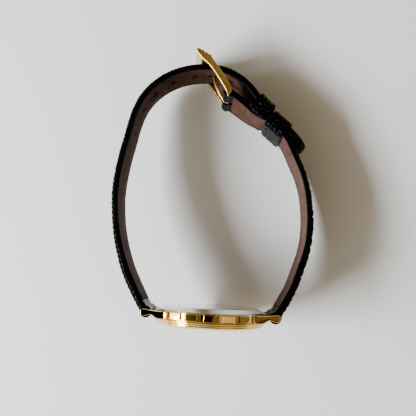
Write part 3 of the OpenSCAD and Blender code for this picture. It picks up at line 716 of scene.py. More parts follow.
def strap_upper(name):
    s = stations(name)
    R = LR if name == "long" else SR
    c, t, n, h, w, dep = strap_shape(name, s)
    m = len(s)
    H, W, D = h[:, None], w[:, None], dep[:, None]
    rc = np.minimum(0.42, 0.62 * H)
    ri = np.minimum(0.2, 0.32 * H)
    cols = []

    def add(b, z, nb, nz, u, g, k=0.0):
        o = np.ones((m, 1))
        cols.append([x * o for x in (b, z, nb, nz, u, g, k)])

    No = 88
    for j in np.linspace(-1, 1, No):
        crown = 0.06 * (1 - j * j)
        add(H + crown * smooth(2, 5, s)[:, None] * 0.6, j * (W - rc), 1, 0, j * (W - rc), 1.0)

    def side(sg):
        L = []
        for f in np.linspace(0, math.pi / 2, 7)[1:]:
            L.append((H - rc + rc * math.cos(f), sg * (W - rc + rc * math.sin(f)), math.cos(f), sg * math.sin(f),
                      sg * (W - rc + rc * f), 1 - 0.35 * f / (math.pi / 2), 0.0))
        top, low = H - rc, -H + ri
        for f in np.linspace(0, 1, 10)[1:]:
            L.append((top + (low - top) * f, sg * (W + 0.05 * math.sin(math.pi * f) * smooth(0.2, 0.8, h)[:, None]), 0, sg,
                      sg * (W - rc + rc * math.pi / 2 + (top - low) * f), 0.65 * (1 - 0.75 * f ** 1.5), 0.0))
        for f in np.linspace(0, math.pi / 2, 5)[1:]:
            L.append((-H + ri - ri * math.sin(f), sg * (W - ri + ri * math.cos(f)), -math.sin(f), sg * math.cos(f), sg * (W + 2), 0.0, math.sin(f)))
        L.append((-H + 0 * W, sg * (W - ri - 0.07), -1, 0, sg * (W + 2.2), 0.0, 0.8))
        L.append((-H + 0 * W, sg * (W - ri - 0.14), -1, 0, sg * (W + 2.3), 0.0, 0.3))
        L.append((-H + D, sg * (W - ri - 0.16), -1, 0, sg * (W + 2.4), 0.0, 0.0))
        return L

    for q in side(1):
        add(*q)
    for j in np.linspace(1, -1, 18)[1:-1]:
        add(-H + D, j * (W - ri - 0.16), -1, 0, j * 6 + 40, 0.0, 0.0)
    for q in reversed(side(-1)):
        add(*q)
    cols.pop()  # the last corner point of the far side meets the first outer point
    B, Z, NB, NZ, U, G, K = [np.concatenate([q[i] for q in cols], 1) for i in range(7)]
    # scale pitch changes along the strap
    if name == "long":
        pitch = np.interp(s, [0, 20, 45, 60, 150], [1.28, 1.25, 1.15, 1.1, 1.1])
        amp = np.interp(s, [-1.5, 1, 4, 30, 55, 80, 108, 120], [0.12, 0.22, 0.36, 0.33, 0.24, 0.2, 0.2, 0.12])
    else:
        pitch = np.interp(s, [0, 8, 40, 55, 70], [1.7, 1.9, 1.75, 1.35, 1.3])
        amp = np.interp(s, [-1.5, 1, 4, 40, 48, 60], [0.12, 0.25, 0.40, 0.36, 0.14, 0.1])
    # in the buckle the scales are pressed flatter
    if name == "long":
        amp = amp * (1 - 0.6 * smooth(SLOT - 9, SLOT - 7, s) * smooth(SLOT + 7, SLOT + 5, s))
    along = np.concatenate([[0], np.cumsum(np.diff(s) / pitch[1:])])[:, None] * np.ones_like(U)
    hgt, who = scales(along, U / (pitch[:, None] * 0.86), 3 if name == "long" else 8)
    fine = fbm(along * 5, U * 4, 21) - 0.5
    d = G * (amp[:, None] * (hgt - 0.62 + 0.22 * (who - 0.5)) + 0.03 * fine)
    # painted rim beside the lining: small beads
    bead = K * (0.08 + 0.12 * (fbm(along * 3.1, U * 0 + (Z > 0) * 7.0, 5) - 0.4)) * smooth(0.2, 0.4, D)
    # turned-over leather on the inner face has the grain as well
    inner = (U > 20) * (1 - smooth(0.0, 0.3, D)) * np.ones_like(U)
    hi, _ = scales(along * 1.15, Z / (pitch[:, None] * 0.8) + 30, 14, 0.8, 0.8)
    d = d + bead + inner * 0.16 * (hi - 0.7) * smooth(0.1, 0.5, h)[:, None]
    grain = np.where(inner > 0, hi, np.where(G > 0, hgt * np.clip(G * 1.6, 0, 1) + (1 - np.clip(G * 1.6, 0, 1)) * 0.75, 0.8))
    fade = smooth(0.03, 0.5, h)[:, None]
    d = d * fade
    P = place3(c, t, n, 0 * B, B + d * NB, Z + d * NZ, strap_twist(name, s))
    V, F = rings(P)
    ob = mesh_object("strap_6_leather" if name == "long" else "strap_12_leather", V, F, deg=60,
                     attrs={"grain": grain.reshape(-1), "matt": np.maximum((inner > 0) * 1.0, 3.0 * K * (inner <= 0)).reshape(-1)})
    return ob


def strap_lining(name):
    R = LR if name == "long" else SR
    a = (L_LINE0 if name == "long" else S_LINE0) + 0.14
    b = R.length - 0.32 if name == "long" else S_LINE1 - 0.14
    s = np.arange(a, b, 0.2)
    s = np.concatenate([s[s < b - 0.05], [b]])
    c, t, n, h, w, dep = strap_shape(name, s)
    m = len(s)
    H = h[:, None]
    ri = np.minimum(0.2, 0.32 * H)
    W = (w[:, None] - ri - 0.19)
    cols = []
    K = 66
    for j in np.linspace(-1, 1, K):
        cols.append((-H - 0.035 * (1 - abs(j) ** 8), j * (W - 0.06), -1.0, 0.0, 1.0))
    cols.append((-H + 0.05, W + 0 * H, 0, 1, 0))
    cols.append((-H + 0.36, W + 0 * H, 0, 1, 0))
    for j in np.linspace(1, -1, 10)[1:-1]:
        cols.append((-H + 0.40, j * (W - 0.05), 1, 0, 0))
    cols.append((-H + 0.36, -W + 0 * H, 0, -1, 0))
    cols.append((-H + 0.05, -W + 0 * H, 0, -1, 0))
    o = np.ones((m, 1))
    B, Z, NB, NZ, G = [np.concatenate([q[i] * o for q in cols], 1) for i in range(5)]
    S = s[:, None] * np.ones_like(B)
    wob = S + 0.9 * (fbm(Z * 0.25, S * 0.15, 4) - 0.5)
    lines = fbm(wob * 1.25, Z * 0.10, 31, 3)
    lines2 = fbm(wob * 3.0, Z * 0.25, 41, 2)
    ridge = np.abs(lines - 0.5) * 2
    deep = np.clip(1 - ridge * 5.5, 0, 1) * smooth(0.35, 0.6, fbm(S * 0.3, Z * 0.2, 77, 2))
    hide = fbm(S * 2.6, Z * 2.6, 51, 3)
    if name == "long":
        bend = 0.35 + 0.9 * np.exp(-((s - 58) / 14.0) ** 2) + 0.25 * np.exp(-((s - 8) / 6.0) ** 2)
    else:
        bend = 0.35 + 0.35 * np.exp(-((s - 45) / 8.0) ** 2)
    bend = bend[:, None]
    d = G * (-0.05 * deep * bend * 1.6 + 0.03 * (lines2 - 0.5) * bend + 0.025 * (hide - 0.5))
    # the leather dips towards each hole
    if name == "long":
        for x in HOLES + [FAR]:
            q = np.sqrt((S - x) ** 2 + Z ** 2)
            d = d - G * 0.10 * smooth(1.9, 0.95, q)
        q = np.sqrt(np.clip(np.abs(S - SLOT) - 0.6, 0, None) ** 2 + Z ** 2)
        d = d - G * 0.10 * smooth(1.9, 0.95, q)
        # rubbed where the strap has been buckled before, and where the keepers ride; the lightening towards the -Z
        # edge is a painted reflection of the bright floor
        wear_and_painted_light = 0.25 * smooth(0.45, 0.75, fbm(S * 0.35, Z * 0.3, 61)) + 0.5 * np.exp(-((S - FAR - 12) / 5.0) ** 2) * smooth(0.4, 0.7, hide)
        wear_and_painted_light = wear_and_painted_light + 0.75 * smooth(0.0, 1.0, -Z / W) * smooth(112, 88, S) + 0.1 * np.exp(-((S - 12) / 9.0) ** 2) + 0.4 * smooth(R.length - 2.2, R.length - 0.6, S)
    else:
        wear_and_painted_light = 0.5 + 0.9 * (fbm(S * 0.22, Z * 0.3, 63) - 0.5) - 0.2 * smooth(48, 60, S)
        wear_and_painted_light = wear_and_painted_light + 0.3 * smooth(0.5, 0.75, lines2)
    rim = smooth(W * 0.93, W * 0.995, np.abs(Z))
    wear_and_painted_light = np.clip(wear_and_painted_light * G, 0, 1)
    # painted shade along the crease lines, and darker near the edges
    painted_shade_and_dark_rim = np.clip(deep * bend * 0.9 + 0.55 * rim, 0, 1)
    if name == "long":
        # painted shade: the lining is darkened where it lies in the shadow between the tail and the short piece
        painted_gap_shade = smooth(SLOT + 7.5, SLOT + 10.5, S + 1.2 * Z / W + 1.5 * (fbm(S * 0.8, Z * 0.8, 91) - 0.5))
        wear_and_painted_light = wear_and_painted_light * (1 - painted_gap_shade)
        painted_shade_and_dark_rim = np.maximum(painted_shade_and_dark_rim, 1.25 * painted_gap_shade)
    P = place3(c, t, n, 0 * B, B + d * NB, Z + d * NZ, strap_twist(name, s))
    V, F = rings(P)
    return mesh_object("strap_6_lining_leather" if name == "long" else "strap_12_lining_leather", V, F, deg=60,
                       attrs={"wear_and_painted_light": wear_and_painted_light.reshape(-1), "painted_shade_and_dark_rim": painted_shade_and_dark_rim.reshape(-1)})


def hole_cutter(s0, stretch, r=0.9):
    c, t, n, h, w = LR.sample(np.array([s0]))
    c, t, n = c[0], t[0], n[0]
    a = np.linspace(-math.pi / 2, math.pi / 2, 17)
    out = np.concatenate([np.stack([stretch / 2 + r * np.cos(a), r * np.sin(a)], 1), np.stack([-stretch / 2 - r * np.cos(a), -r * np.sin(a)], 1)])
    ctr = np.array([c[0], c[1], 0.0])
    T, N, Z = np.array([t[0], t[1], 0]), np.array([n[0], n[1], 0]), np.array([0, 0, 1.0])
    P = np.stack([ctr + out[:, 0][:, None] * T + out[:, 1][:, None] * Z + N * k for k in (-2.5, 2.5)])
    V, F = rings(P)
    return mesh_object("cutter", V, F)


def rod_cutter(origin, r, half, tilt=None):
    C = circle(r, 48)
    P = np.stack([np.concatenate([C, np.full((48, 1), z)], 1) for z in (-half, half)])
    V, F = rings(P)
    V = from_buckle(V) if tilt else V + np.array([origin[0], origin[1], 0])
    return mesh_object("cutter", V, F)


def hole_cutters():
    return [hole_cutter(x, 0) for x in HOLES] + [hole_cutter(SLOT, 1.4), hole_cutter(FAR, 0)]


def finish_piece(ob, mat, body, slot, *nodes):
    ob.data.materials.clear()
    ob.data.materials.append(mat)
    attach(ob, body)
    if nodes:
        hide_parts(*nodes)
    return ob


def build_straps():
    up6 = strap_upper("long")
    cut(up6, hole_cutters() + [rod_cutter((-16, 0.18), 0.8, 9)], deg=60)
    finish_piece(up6, M["black_leather"], "root", "black_leather", "strap_6_upper")
    li6 = strap_lining("long")
    cut(li6, hole_cutters(), deg=60)
    finish_piece(li6, M["lining_leather"], "root", "lining_leather", "strap_6_lining")
    up12 = strap_upper("short")
    V, F = box_at((BAR[0] - 3, BAR[1] - 3, -0.9), (BAR[0] + 1.35, BAR[1] + 3, 0.9))
    slot = mesh_object("cutter", V, F)
    c, t, n, h, w = SR.sample(np.array([LEAF]))
    V, F = box_at((-1.25, -0.38, -8), (1.25, 0.08, 8))
    V = turned(V, math.atan2(t[0][1], t[0][0])) + np.array([c[0][0], c[0][1], 0])
    cut(up12, [rod_cutter((16, 0.18), 0.8, 9), rod_cutter(None, 0.74, 9, True), slot, mesh_object("cutter", V, F)], deg=60)
    finish_piece(up12, M["black_leather"], "root", "black_leather", "strap_12_upper")
    li12 = strap_lining("short")
    finish_piece(li12, M["lining_leather"], "root", "lining_leather", "strap_12_lining")


# ---------------------------------------------------------------- keepers


def band(path, closed, half, thick, ctr, ang, seed, ends=None, name="band", pitch=1.0, amp=0.12):
    """A leather band: path is its middle line in (out, across), half its half width along the strap."""
    P = np.asarray(path, float)
    Q = np.vstack([P, P[:1]]) if closed else P
    d = np.concatenate([[0], np.cumsum(np.linalg.norm(np.diff(Q, axis=0), axis=1))])
    m = int(d[-1] / 0.15)
    s = np.linspace(0, d[-1], m, endpoint=not closed)
    q = np.stack([np.interp(s, d, Q[:, k]) for k in (0, 1)], 1)
    nx, pv = np.roll(q, -1, 0), np.roll(q, 1, 0)
    if not closed:
        nx[-1], pv[0] = q[-1], q[0]
    t = nx - pv
    t /= np.linalg.norm(t, axis=1)[:, None]
    o = np.stack([t[:, 1], -t[:, 0]], 1)
    mid = q.mean(0)
    if np.sum((q - mid) * o) < 0:
        o = -o
    hw, T = np.full(m, half), np.full(m, thick / 2)
    if ends is not None:
        near = np.minimum(s, d[-1] - s)
        hw, T = hw * np.interp(near, ends[0], ends[1]), T * np.interp(near, ends[0], ends[2])
    rc = np.minimum(0.28, 0.8 * T)
    cols = []
    for j in np.linspace(-1, 1, 34):
        cols.append((j * (hw - rc), T, 0.0, 1.0, 1.0))
    for f in np.linspace(0, math.pi / 2, 6)[1:]:
        cols.append((hw - rc + rc * math.sin(f), T - rc + rc * math.cos(f), math.sin(f), math.cos(f), 1 - 0.5 * f / 1.57))
    for f in np.linspace(0, math.pi / 2, 5)[1:]:
        cols.append((hw - rc + rc * math.cos(f), -T + rc - rc * math.sin(f), math.cos(f), -math.sin(f), 0.2))
    for j in np.linspace(1, -1, 14)[1:-1]:
        cols.append((j * (hw - rc), -T, 0.0, -1.0, 0.0))
    for f in np.linspace(math.pi / 2, 0, 5)[:-1]:
        cols.append((-(hw - rc + rc * math.cos(f)), -T + rc - rc * math.sin(f), -math.cos(f), -math.sin(f), 0.2))
    for f in np.linspace(math.pi / 2, 0, 6)[:-1]:
        cols.append((-(hw - rc + rc * math.sin(f)), T - rc + rc * math.cos(f), -math.sin(f), math.cos(f), 1 - 0.5 * f / 1.57))
    A = np.stack([x[0] for x in cols], 1)
    B = np.stack([x[1] for x in cols], 1)
    NA = np.stack([np.full(m, x[2]) for x in cols], 1)
    NB = np.stack([np.full(m, x[3]) for x in cols], 1)
    G = np.stack([np.full(m, x[4]) for x in cols], 1)
    per = d[-1] / pitch
    per = round(per)
    U = s[:, None] / d[-1] * per * np.ones_like(A)
    hgt, who = scales(U, A / (pitch * 0.9) + 40, seed, 0.7, 0.75)
    if closed:
        # blend across the join
        hg2, _ = scales(U - per, A / (pitch * 0.9) + 40, seed, 0.7, 0.75)
        k = smooth(0.96, 1.0, s / d[-1])[:, None]
        hgt = hgt * (1 - k) + hg2 * k
    D = G * amp * (hgt - 0.6 + 0.2 * (who - 0.5))
    if not closed:
        D = D * smooth(0, 1.0, s)[:, None] * smooth(d[-1], d[-1] - 1.0, s)[:, None]
    A, B = A + D * NA, B + D * NB
    ca, sa = math.cos(ang), math.sin(ang)
    out = q[:, 0][:, None] + B * o[:, 0][:, None]
    zz = q[:, 1][:, None] + B * o[:, 1][:, None]
    x = ctr[0] + A * ca - out * sa
    y = ctr[1] + A * sa + out * ca
    V, F = rings(np.stack([x, y, zz], -1), loop=closed)
    return mesh_object(name, V, F, deg=60,
                       attrs={"grain": (np.where(G > 0, hgt, 0.7)).reshape(-1), "matt": 0 * A})


def loop_path(w, h, r, cx=0.0):
    """Rounded rectangle in (out, across)."""
    return rounded([(cx - w / 2, -h / 2), (cx + w / 2, -h / 2), (cx + w / 2, h / 2), (cx - w / 2, h / 2)], r, 10)


def build_keepers():
    t = 0.7
    free = band(loop_path(3.4 + t, 12.5 + t, 1.25), True, 2.83, t - 0.02, (14.96, 48.81), math.radians(-40), 23,
                name="sliding_keeper_leather", pitch=1.4, amp=0.23)
    finish_piece(free, M["keeper_leather"], "sliding_keeper", "black_leather", "free_keeper")
    # sewn keeper: a band over the outer side whose ends are tucked into the short piece
    c, tt, nn, h, w = SR.sample(np.array([LEAF]))
    ang = math.radians(-43)
    rel = c[0] - np.array([12.3, 55.0])
    low = -rel[0] * math.sin(ang) + rel[1] * math.cos(ang) - 0.15
    path = [(low, 4.7), (low, 5.4), (low + 0.04, 5.9), (low + 0.2, 6.3), (low + 0.6, 6.53), (low + 1.3, 6.55), (-2.2, 6.55), (-1.3, 6.5),
            (-0.62, 6.2), (-0.22, 5.6), (-0.07, 4.8), (-0.05, 3.0), (-0.05, 0)]
    path = path + [(a, -b) for a, b in reversed(path[:-1])]
    fixed = band(catmull(path, 8), False, 2.53, t, (12.3, 55.0), ang, 29,
                 ends=((0, 1.05, 1.5, 1.95), (0.45, 0.45, 0.85, 1.0), (0.52, 0.52, 0.8, 1.0)), name="sewn_keeper_leather", pitch=1.4, amp=0.28)
    finish_piece(fixed, M["keeper_leather"], "root", "black_leather", "fixed_keeper")


# ---------------------------------------------------------------- case


def lug_outline():
    p = [(10.8, -0.6), (13.0, -0.62), (14.4, -0.78), (15.6, -0.98), (16.4, -1.05), (16.78, -0.95), (16.95, -0.65),
         (16.95, 0.3), (16.75, 0.6), (16.3, 0.72), (15.7, 0.62), (15.0, 0.35), (14.5, 0.28), (14.0, 0.45), (13.4, 0.95), (12.8, 1.2), (10.8, 1.2)]
    return rounded(p, [0, 0.5, 2, 2, 0.5, 0.3, 0.35, 0.35, 0.3, 0.5, 1, 1, 0.6, 0.8, 0.6, 0.6, 0], 3)


def build_case():
    prof = [(13.86, -0.85), (13.95, -0.8), (13.97, -0.72), (13.9, -0.66), (13.74, -0.63), (13.74, 1.03), (13.9, 1.06), (13.97, 1.12), (13.95, 1.2), (13.86, 1.25),
            (13.0, 1.25), (13.0, 2.1), (11.1, 2.1), (11.1, 1.15), (11.7, 1.15), (11.7, -0.25), (12.7, -0.25), (12.7, -0.85)]
    V, F = lathe(rounded(prof, [0.04, 0.05, 0.05, 0.04, 0.05, 0.05, 0.04, 0.05, 0.05, 0.04, 0, 0.03, 0.05, 0, 0, 0, 0, 0.03], 3), 240)
    body = mesh_object("mid_case_metal", from_case(V), F)
    parts = []
    for k in range(20):
        rect = rounded([(-1.45, -0.6), (1.45, -0.6), (1.45, 1.0), (-1.45, 1.0)], 0.12, 3)
        v, f = prism(rect, 13.3, 14.2, 0.09, 4)
        # prism z is outwards: x across, y up
        v = np.stack([v[:, 2], v[:, 0], v[:, 1]], 1)
        parts.append((turned(v, k * math.pi / 10), f))
    V, F = combine(parts)
    pads = mesh_object("cutter", from_case(V), F)
    parts = []
    for sx in (1, -1):
        for sy in (1, -1):
            v, f = prism(lug_outline() * np.array([sx, 1]), 7.1, 8.75, 0.16, 5)
            v = np.stack([v[:, 0], sy * v[:, 2], v[:, 1]], 1)
            parts.append((v, f if signed(v - v.mean(0), f) > 0 else [g[::-1] for g in f]))
    V, F = combine(parts)
    lugs = mesh_object("cutter", from_case(V), F)
    cut(body, [pads, lugs], "UNION")
    bores = []
    for sx in (16.0, -16.0):
        for a, b in ((7.0, 8.15), (-8.15, -7.0)):
            C = circle(0.44, 24)
            V, F = rings(np.stack([np.concatenate([C, np.full((24, 1), z)], 1) for z in (a, b)]))
            bores.append(mesh_object("cutter", V + np.array([sx, 0.18, 0]), F))
    C = circle(0.5, 32)
    V, F = rings(np.stack([np.concatenate([C, np.full((32, 1), z)], 1) for z in (11.0, 15.0)]))
    bores.append(mesh_object("cutter", from_stem(V), F))
    # inside of the lug roots stays clear of the bore
    cut(body, bores)
    V, F = lathe([(11.7, -1.2), (11.7, 1.15), (11.1, 1.15), (11.1, 2.6), (5, 2.6), (5, -1.2)], 192)
    inner = [mesh_object("cutter", from_case(V), F)]
    cut(body, inner, deg=12)
    finish_piece(body, M["gold_case"], "root", "gold_case", "mid_case")

    bz = [(13.02, 1.26), (13.9, 1.26), (14.0, 1.33), (14.03, 1.45), (14.0, 1.57), (13.9, 1.65), (13.7, 1.68),
          (13.66, 1.74), (13.72, 1.82), (13.74, 1.92), (13.7, 2.02), (13.6, 2.1), (13.42, 2.13),
          (13.38, 2.19), (13.42, 2.27), (13.42, 2.37), (13.36, 2.47), (13.22, 2.56), (12.9, 2.74),
          (12.5, 2.9), (12.15, 2.98), (12.0, 2.98), (11.95, 2.93), (11.95, 2.11), (13.02, 2.11)]
    rad = [0, 0.05, 0.1, 0.2, 0.1, 0.05, 0.03, 0.05, 0.1, 0.15, 0.1, 0.08, 0.03, 0.05, 0.1, 0.1, 0.1, 0.1, 0.3, 0.3, 0.05, 0.04, 0.03, 0, 0]
    V, F = lathe(rounded(bz, rad, 3), 256)
    finish_piece(mesh_object("bezel_ring", from_case(V), F, deg=24), M["gold_case"], "root", "gold_case", "bezel")

    cr = [(0, 2.101), (11.58, 2.101), (11.6, 2.12), (11.6, 2.8), (11.53, 2.9), (11.42, 2.96)]
    cr += [(r, 3.0 + 0.3 * (1 - (r / 11.45) ** 2)) for r in np.linspace(11.3, 0, 26)]
    V, F = lathe(cr, 192)
    finish_piece(mesh_object("crystal_dome", from_case(V), F, deg=40), M["crystal_glass"], "root", "crystal_glass", "crystal")

    cb = [(0, -1.9), (11.9, -1.9), (12.12, -1.88), (12.8, -1.47), (13.47, -1.06), (13.58, -0.95), (13.55, -0.86),
          (12.68, -0.86), (12.68, -0.66), (12.6, -0.5), (12.3, -0.5), (12.3, -1.4), (0, -1.4)]
    V, F = lathe([cb[0]] + rounded(cb, [0, 0, 0.15, 0, 0.06, 0.05, 0.03, 0, 0, 0.05, 0.05, 0, 0], 4)[1:-1].tolist() + [cb[-1]], 240)
    finish_piece(mesh_object("case_back_steel", from_case(V), F, deg=24), M["steel_back"], "root", "steel_back", "case_back")


def build_crown():
    R = 1.45

    def wave(r, z, a):
        k = np.clip((r - 1.1) / 0.25, 0, 1) * smooth(14.56, 14.75, z) * smooth(16.36, 16.15, z)
        f = 0.5 + 0.5 * np.cos(28 * a)
        return r - 0.13 * k * (1 - f ** 0.6)

    prof = [(0, 16.6), (0.3, 16.59), (0.65, 16.56), (1.05, 16.48), (1.26, 16.36), (1.38, 16.22), (1.44, 16.08), (1.45, 15.9), (1.45, 15.5), (1.45, 15.1), (1.45, 14.8),
            (1.42, 14.66), (1.34, 14.57), (1.2, 14.55), (0.86, 14.55), (0.8, 14.6), (0.8, 15.38), (0.76, 15.4), (0.36, 15.4), (0.33, 15.43), (0.33, 16.08), (0.31, 16.1), (0, 16.1)]
    fine = []
    for (r0, z0), (r1, z1) in zip(prof, prof[1:]):
        n = max(1, int(math.hypot(r1 - r0, z1 - z0) / 0.12))
        fine += [(r0 + (r1 - r0) * k / n, z0 + (z1 - z0) * k / n) for k in range(n)]
    fine.append(prof[-1])
    V, F = lathe(fine, 28 * 10, wave)
    finish_piece(mesh_object("crown_fluted", from_stem(V), F, deg=45), M["gold_crown"], "crown_and_stem", "gold_case", "crown")


def build_dial():
    prof = [(0.75, 0.8), (11.58, 0.8), (11.6, 0.82), (11.6, 1.1), (11.55, 1.13), (10.72, 1.13), (10.68, 1.15), (0.82, 1.15), (0.75, 1.1)]
    V, F = lathe(prof, 192)
    disc = mesh_object("dial_plate", from_case(V), F, deg=24)
    feet = []
    for a in (60, 240):
        v, f = prism(circle(0.32, 20), 0.1, 0.81, 0.03, 2)
        v = v + np.array([8.2, 0, 0])
        feet.append((turned(v, math.radians(a)), f))
    V, F = combine(feet)
    cut(disc, [mesh_object("cutter", from_case(V), F)], "UNION", deg=24)
    finish_piece(disc, M["dial_enamel"], "root", "dial_enamel", "dial")
    parts = []
    for k in range(12):
        big = k % 3 == 0
        L, w = (2.4, 0.24) if big else (1.8, 0.16)
        # baton with a roof top
        x0, x1 = 10.4 - L, 10.4
        e = 0.07
        V = np.array([[x0, -w, 1.15], [x1, -w, 1.15], [x1, w, 1.15], [x0, w, 1.15],
                      [x0, -w, 1.24], [x1, -w, 1.24], [x1, w, 1.24], [x0, w, 1.24],
                      [x0 + e, 0, 1.33], [x1 - e, 0, 1.33]])
        F = [[3, 2, 1, 0], [0, 1, 5, 4], [1, 2, 6, 5], [2, 3, 7, 6], [3, 0, 4, 7], [4, 5, 9, 8], [6, 7, 8, 9], [5, 6, 9], [7, 4, 8]]
        parts.append((turned(V, math.radians(30 * k)), F))
    V, F = combine(parts)
    finish_piece(mesh_object("hour_batons", from_case(V), F, deg=20), M["gold_markers"], "root", "gold_markers", "hour_markers")
    parts = []
    for k in range(60):
        r = 0.11 if k % 5 == 0 else 0.06
        prof = [(0, 1.13), (r, 1.13), (r * 0.9, 1.155), (r * 0.5, 1.172), (0, 1.178)]
        v, f = lathe(prof, 16)
        parts.append((turned(v + np.array([11.0, 0, 0]), math.radians(6 * k)), f))
    V, F = combine(parts)
    finish_piece(mesh_object("minute_dots", from_case(V), F, deg=50), M["gold_markers"], "root", "gold_markers")


def hand_mesh(length, w, z0, z1, bore, hub, ang):
    out = [(-1.6, -w * 0.4), (0, -w * 0.5), (length * 0.6, -w * 0.5), (length, -0.05), (length, 0.05), (length * 0.6, w * 0.5), (0, w * 0.5), (-1.6, w * 0.4)]
    m = (z0 + z1) / 2 + 0.01
    top, V, F = z1, [], []
    for x, y in out:
        V.append((x, y, z0))
    for x, y in out:
        V.append((x, y, m))
    ridge = [(-1.45, 0, top), (0, 0, top), (length * 0.6, 0, top), (length - 0.05, 0, m + 0.02)]
    V += ridge
    F = [list(range(8))[::-1]]
    for i in range(8):
        j = (i + 1) % 8
        F.append([i, j, 8 + j, 8 + i])
    F += [[8, 9, 17, 16], [9, 10, 18, 17], [10, 11, 19, 18], [11, 12, 19], [12, 13, 18, 19], [13, 14, 17, 18], [14, 15, 16, 17], [15, 8, 16]]
    blade = mesh_object("hand", from_case(turned(np.array(V, float), ang)), F, deg=12)
    v, f = prism(circle(hub, 48), z0, z1, 0.04, 3)
    cut(blade, [mesh_object("cutter", from_case(v), f)], "UNION", deg=14)
    C = circle(bore, 40)
    v, f = rings(np.stack([np.concatenate([C, np.full((40, 1), z)], 1) for z in (z0 - 1, z1 + 1)]))
    cut(blade, [mesh_object("cutter", from_case(v), f)], deg=14)
    return blade


def build_hands():
    h = hand_mesh(6.2, 0.6, 1.42, 1.57, 0.62, 0.95, math.radians(55))
    h.name = "hour_hand_blade"
    finish_piece(h, M["gold_markers"], "hour_group", "gold_markers", "hour_hand")
    m = hand_mesh(9.2, 0.5, 1.74, 1.87, 0.35, 0.75, math.radians(-60))
    m.name = "minute_hand_blade"
    finish_piece(m, M["gold_markers"], "minute_group", "gold_markers", "minute_hand")


# ---------------------------------------------------------------- buckle

ARM = [(-1.1, 0.85), (-0.95, 0.35), (-0.65, -0.25), (-0.1, -0.75), (0.9, -0.95), (2.4, -1.08), (4.0, -1.05), (6.5, -0.95),
       (9.0, -0.85), (10.1, -0.75), (10.7, -0.6), (11.6, -0.05), (12.7, 0.42), (13.3, 0.75), (13.6, 1.15),
       (13.6, 1.5), (13.3, 1.72), (12.7, 1.75), (11.9, 1.7), (11.1, 1.57), (9.65, 1.15), (8.75, 0.95), (7.3, 0.75),
       (5.9, 0.65), (4.35, 0.6), (2.95, 0.58), (1.65, 0.6), (0.35, 0.68), (-0.4, 0.85), (-0.85, 0.98)]
FRONT = [(10.0, -0.75), (10.7, -0.6), (11.6, -0.05), (12.7, 0.42), (13.3, 0.75), (13.6, 1.15), (13.6, 1.5),
         (13.3, 1.72), (12.7, 1.75), (11.9, 1.7), (11.1, 1.57), (10.6, 1.2), (10.15, 0.4)]
REEDS = [(10.3, -0.62), (11.25, -0.12), (12.25, 0.34), (13.15, 0.95)]
TONGUE = [(-0.2, 1.15), (1.0, 1.28), (2.2, 1.32), (3.5, 1.2), (5.0, 0.88), (6.5, 0.45), (8.0, 0.08), (9.2, -0.1),
          (11.0, -0.06), (12.4, 0.0), (12.95, -0.06), (13.15, -0.3), (12.9, -0.55), (12.0, -0.66), (10.5, -0.72), (9.0, -0.68),
          (7.5, -0.5), (6.0, -0.15), (4.5, 0.25), (3.0, 0.45), (1.8, 0.15), (1.0, -0.6), (-0.2, -1.1)]


def build_buckle():
    arm = catmull(ARM, 4, True)
    parts = []
    for lo in (6.2, -7.5):
        parts.append(prism(arm, lo, lo + 1.3, 0.2, 5))
    V, F = parts[0]
    ob = mesh_object("buckle_frame_metal", from_buckle(V), F)
    V, F = parts[1]
    other = mesh_object("cutter", from_buckle(V), F)
    V, F = prism(catmull(FRONT, 3, True), -7.2, 7.2, 0.1, 2)
    bar = mesh_object("cutter", from_buckle(V), F)
    cut(ob, [other, bar], "UNION")
    reeds = []
    for p in REEDS:
        V, F = prism(circle(0.36, 28, p), -7.4, 7.4, 0.14, 3)
        reeds.append(mesh_object("cutter", from_buckle(V), F))
    cut(ob, reeds, "UNION")
    V, F = prism(rounded([(9, -4), (16, -4), (16, 0.12), (9, 0.12)], 0.01, 2), -0.8, 0.8, 0.02, 1)
    cutters = [mesh_object("cutter", from_buckle(V), F), rod_cutter(None, 0.39, 7.45, True)]
    cut(ob, cutters)
    finish_piece(ob, M["gold_buckle"], "buckle", "gold_buckle", "buckle_frame")
    V, F = prism(catmull(TONGUE, 4, True), -0.65, 0.65, 0.2, 5)
    tg = mesh_object("buckle_tongue_metal", from_buckle(V), F)
    V, F = prism(circle(1.1, 48), -0.64, 0.64, 0.1, 4)
    cut(tg, [mesh_object("cutter", from_buckle(V), F)], "UNION")
    cut(tg, [rod_cutter(None, 0.75, 9, True)])
    finish_piece(tg, M["gold_buckle"], "tongue", "gold_buckle", "buckle_tongue")


# ---------------------------------------------------------------- build

build_straps()
build_keepers()
build_case()
build_crown()
build_dial()
build_hands()
build_buckle()

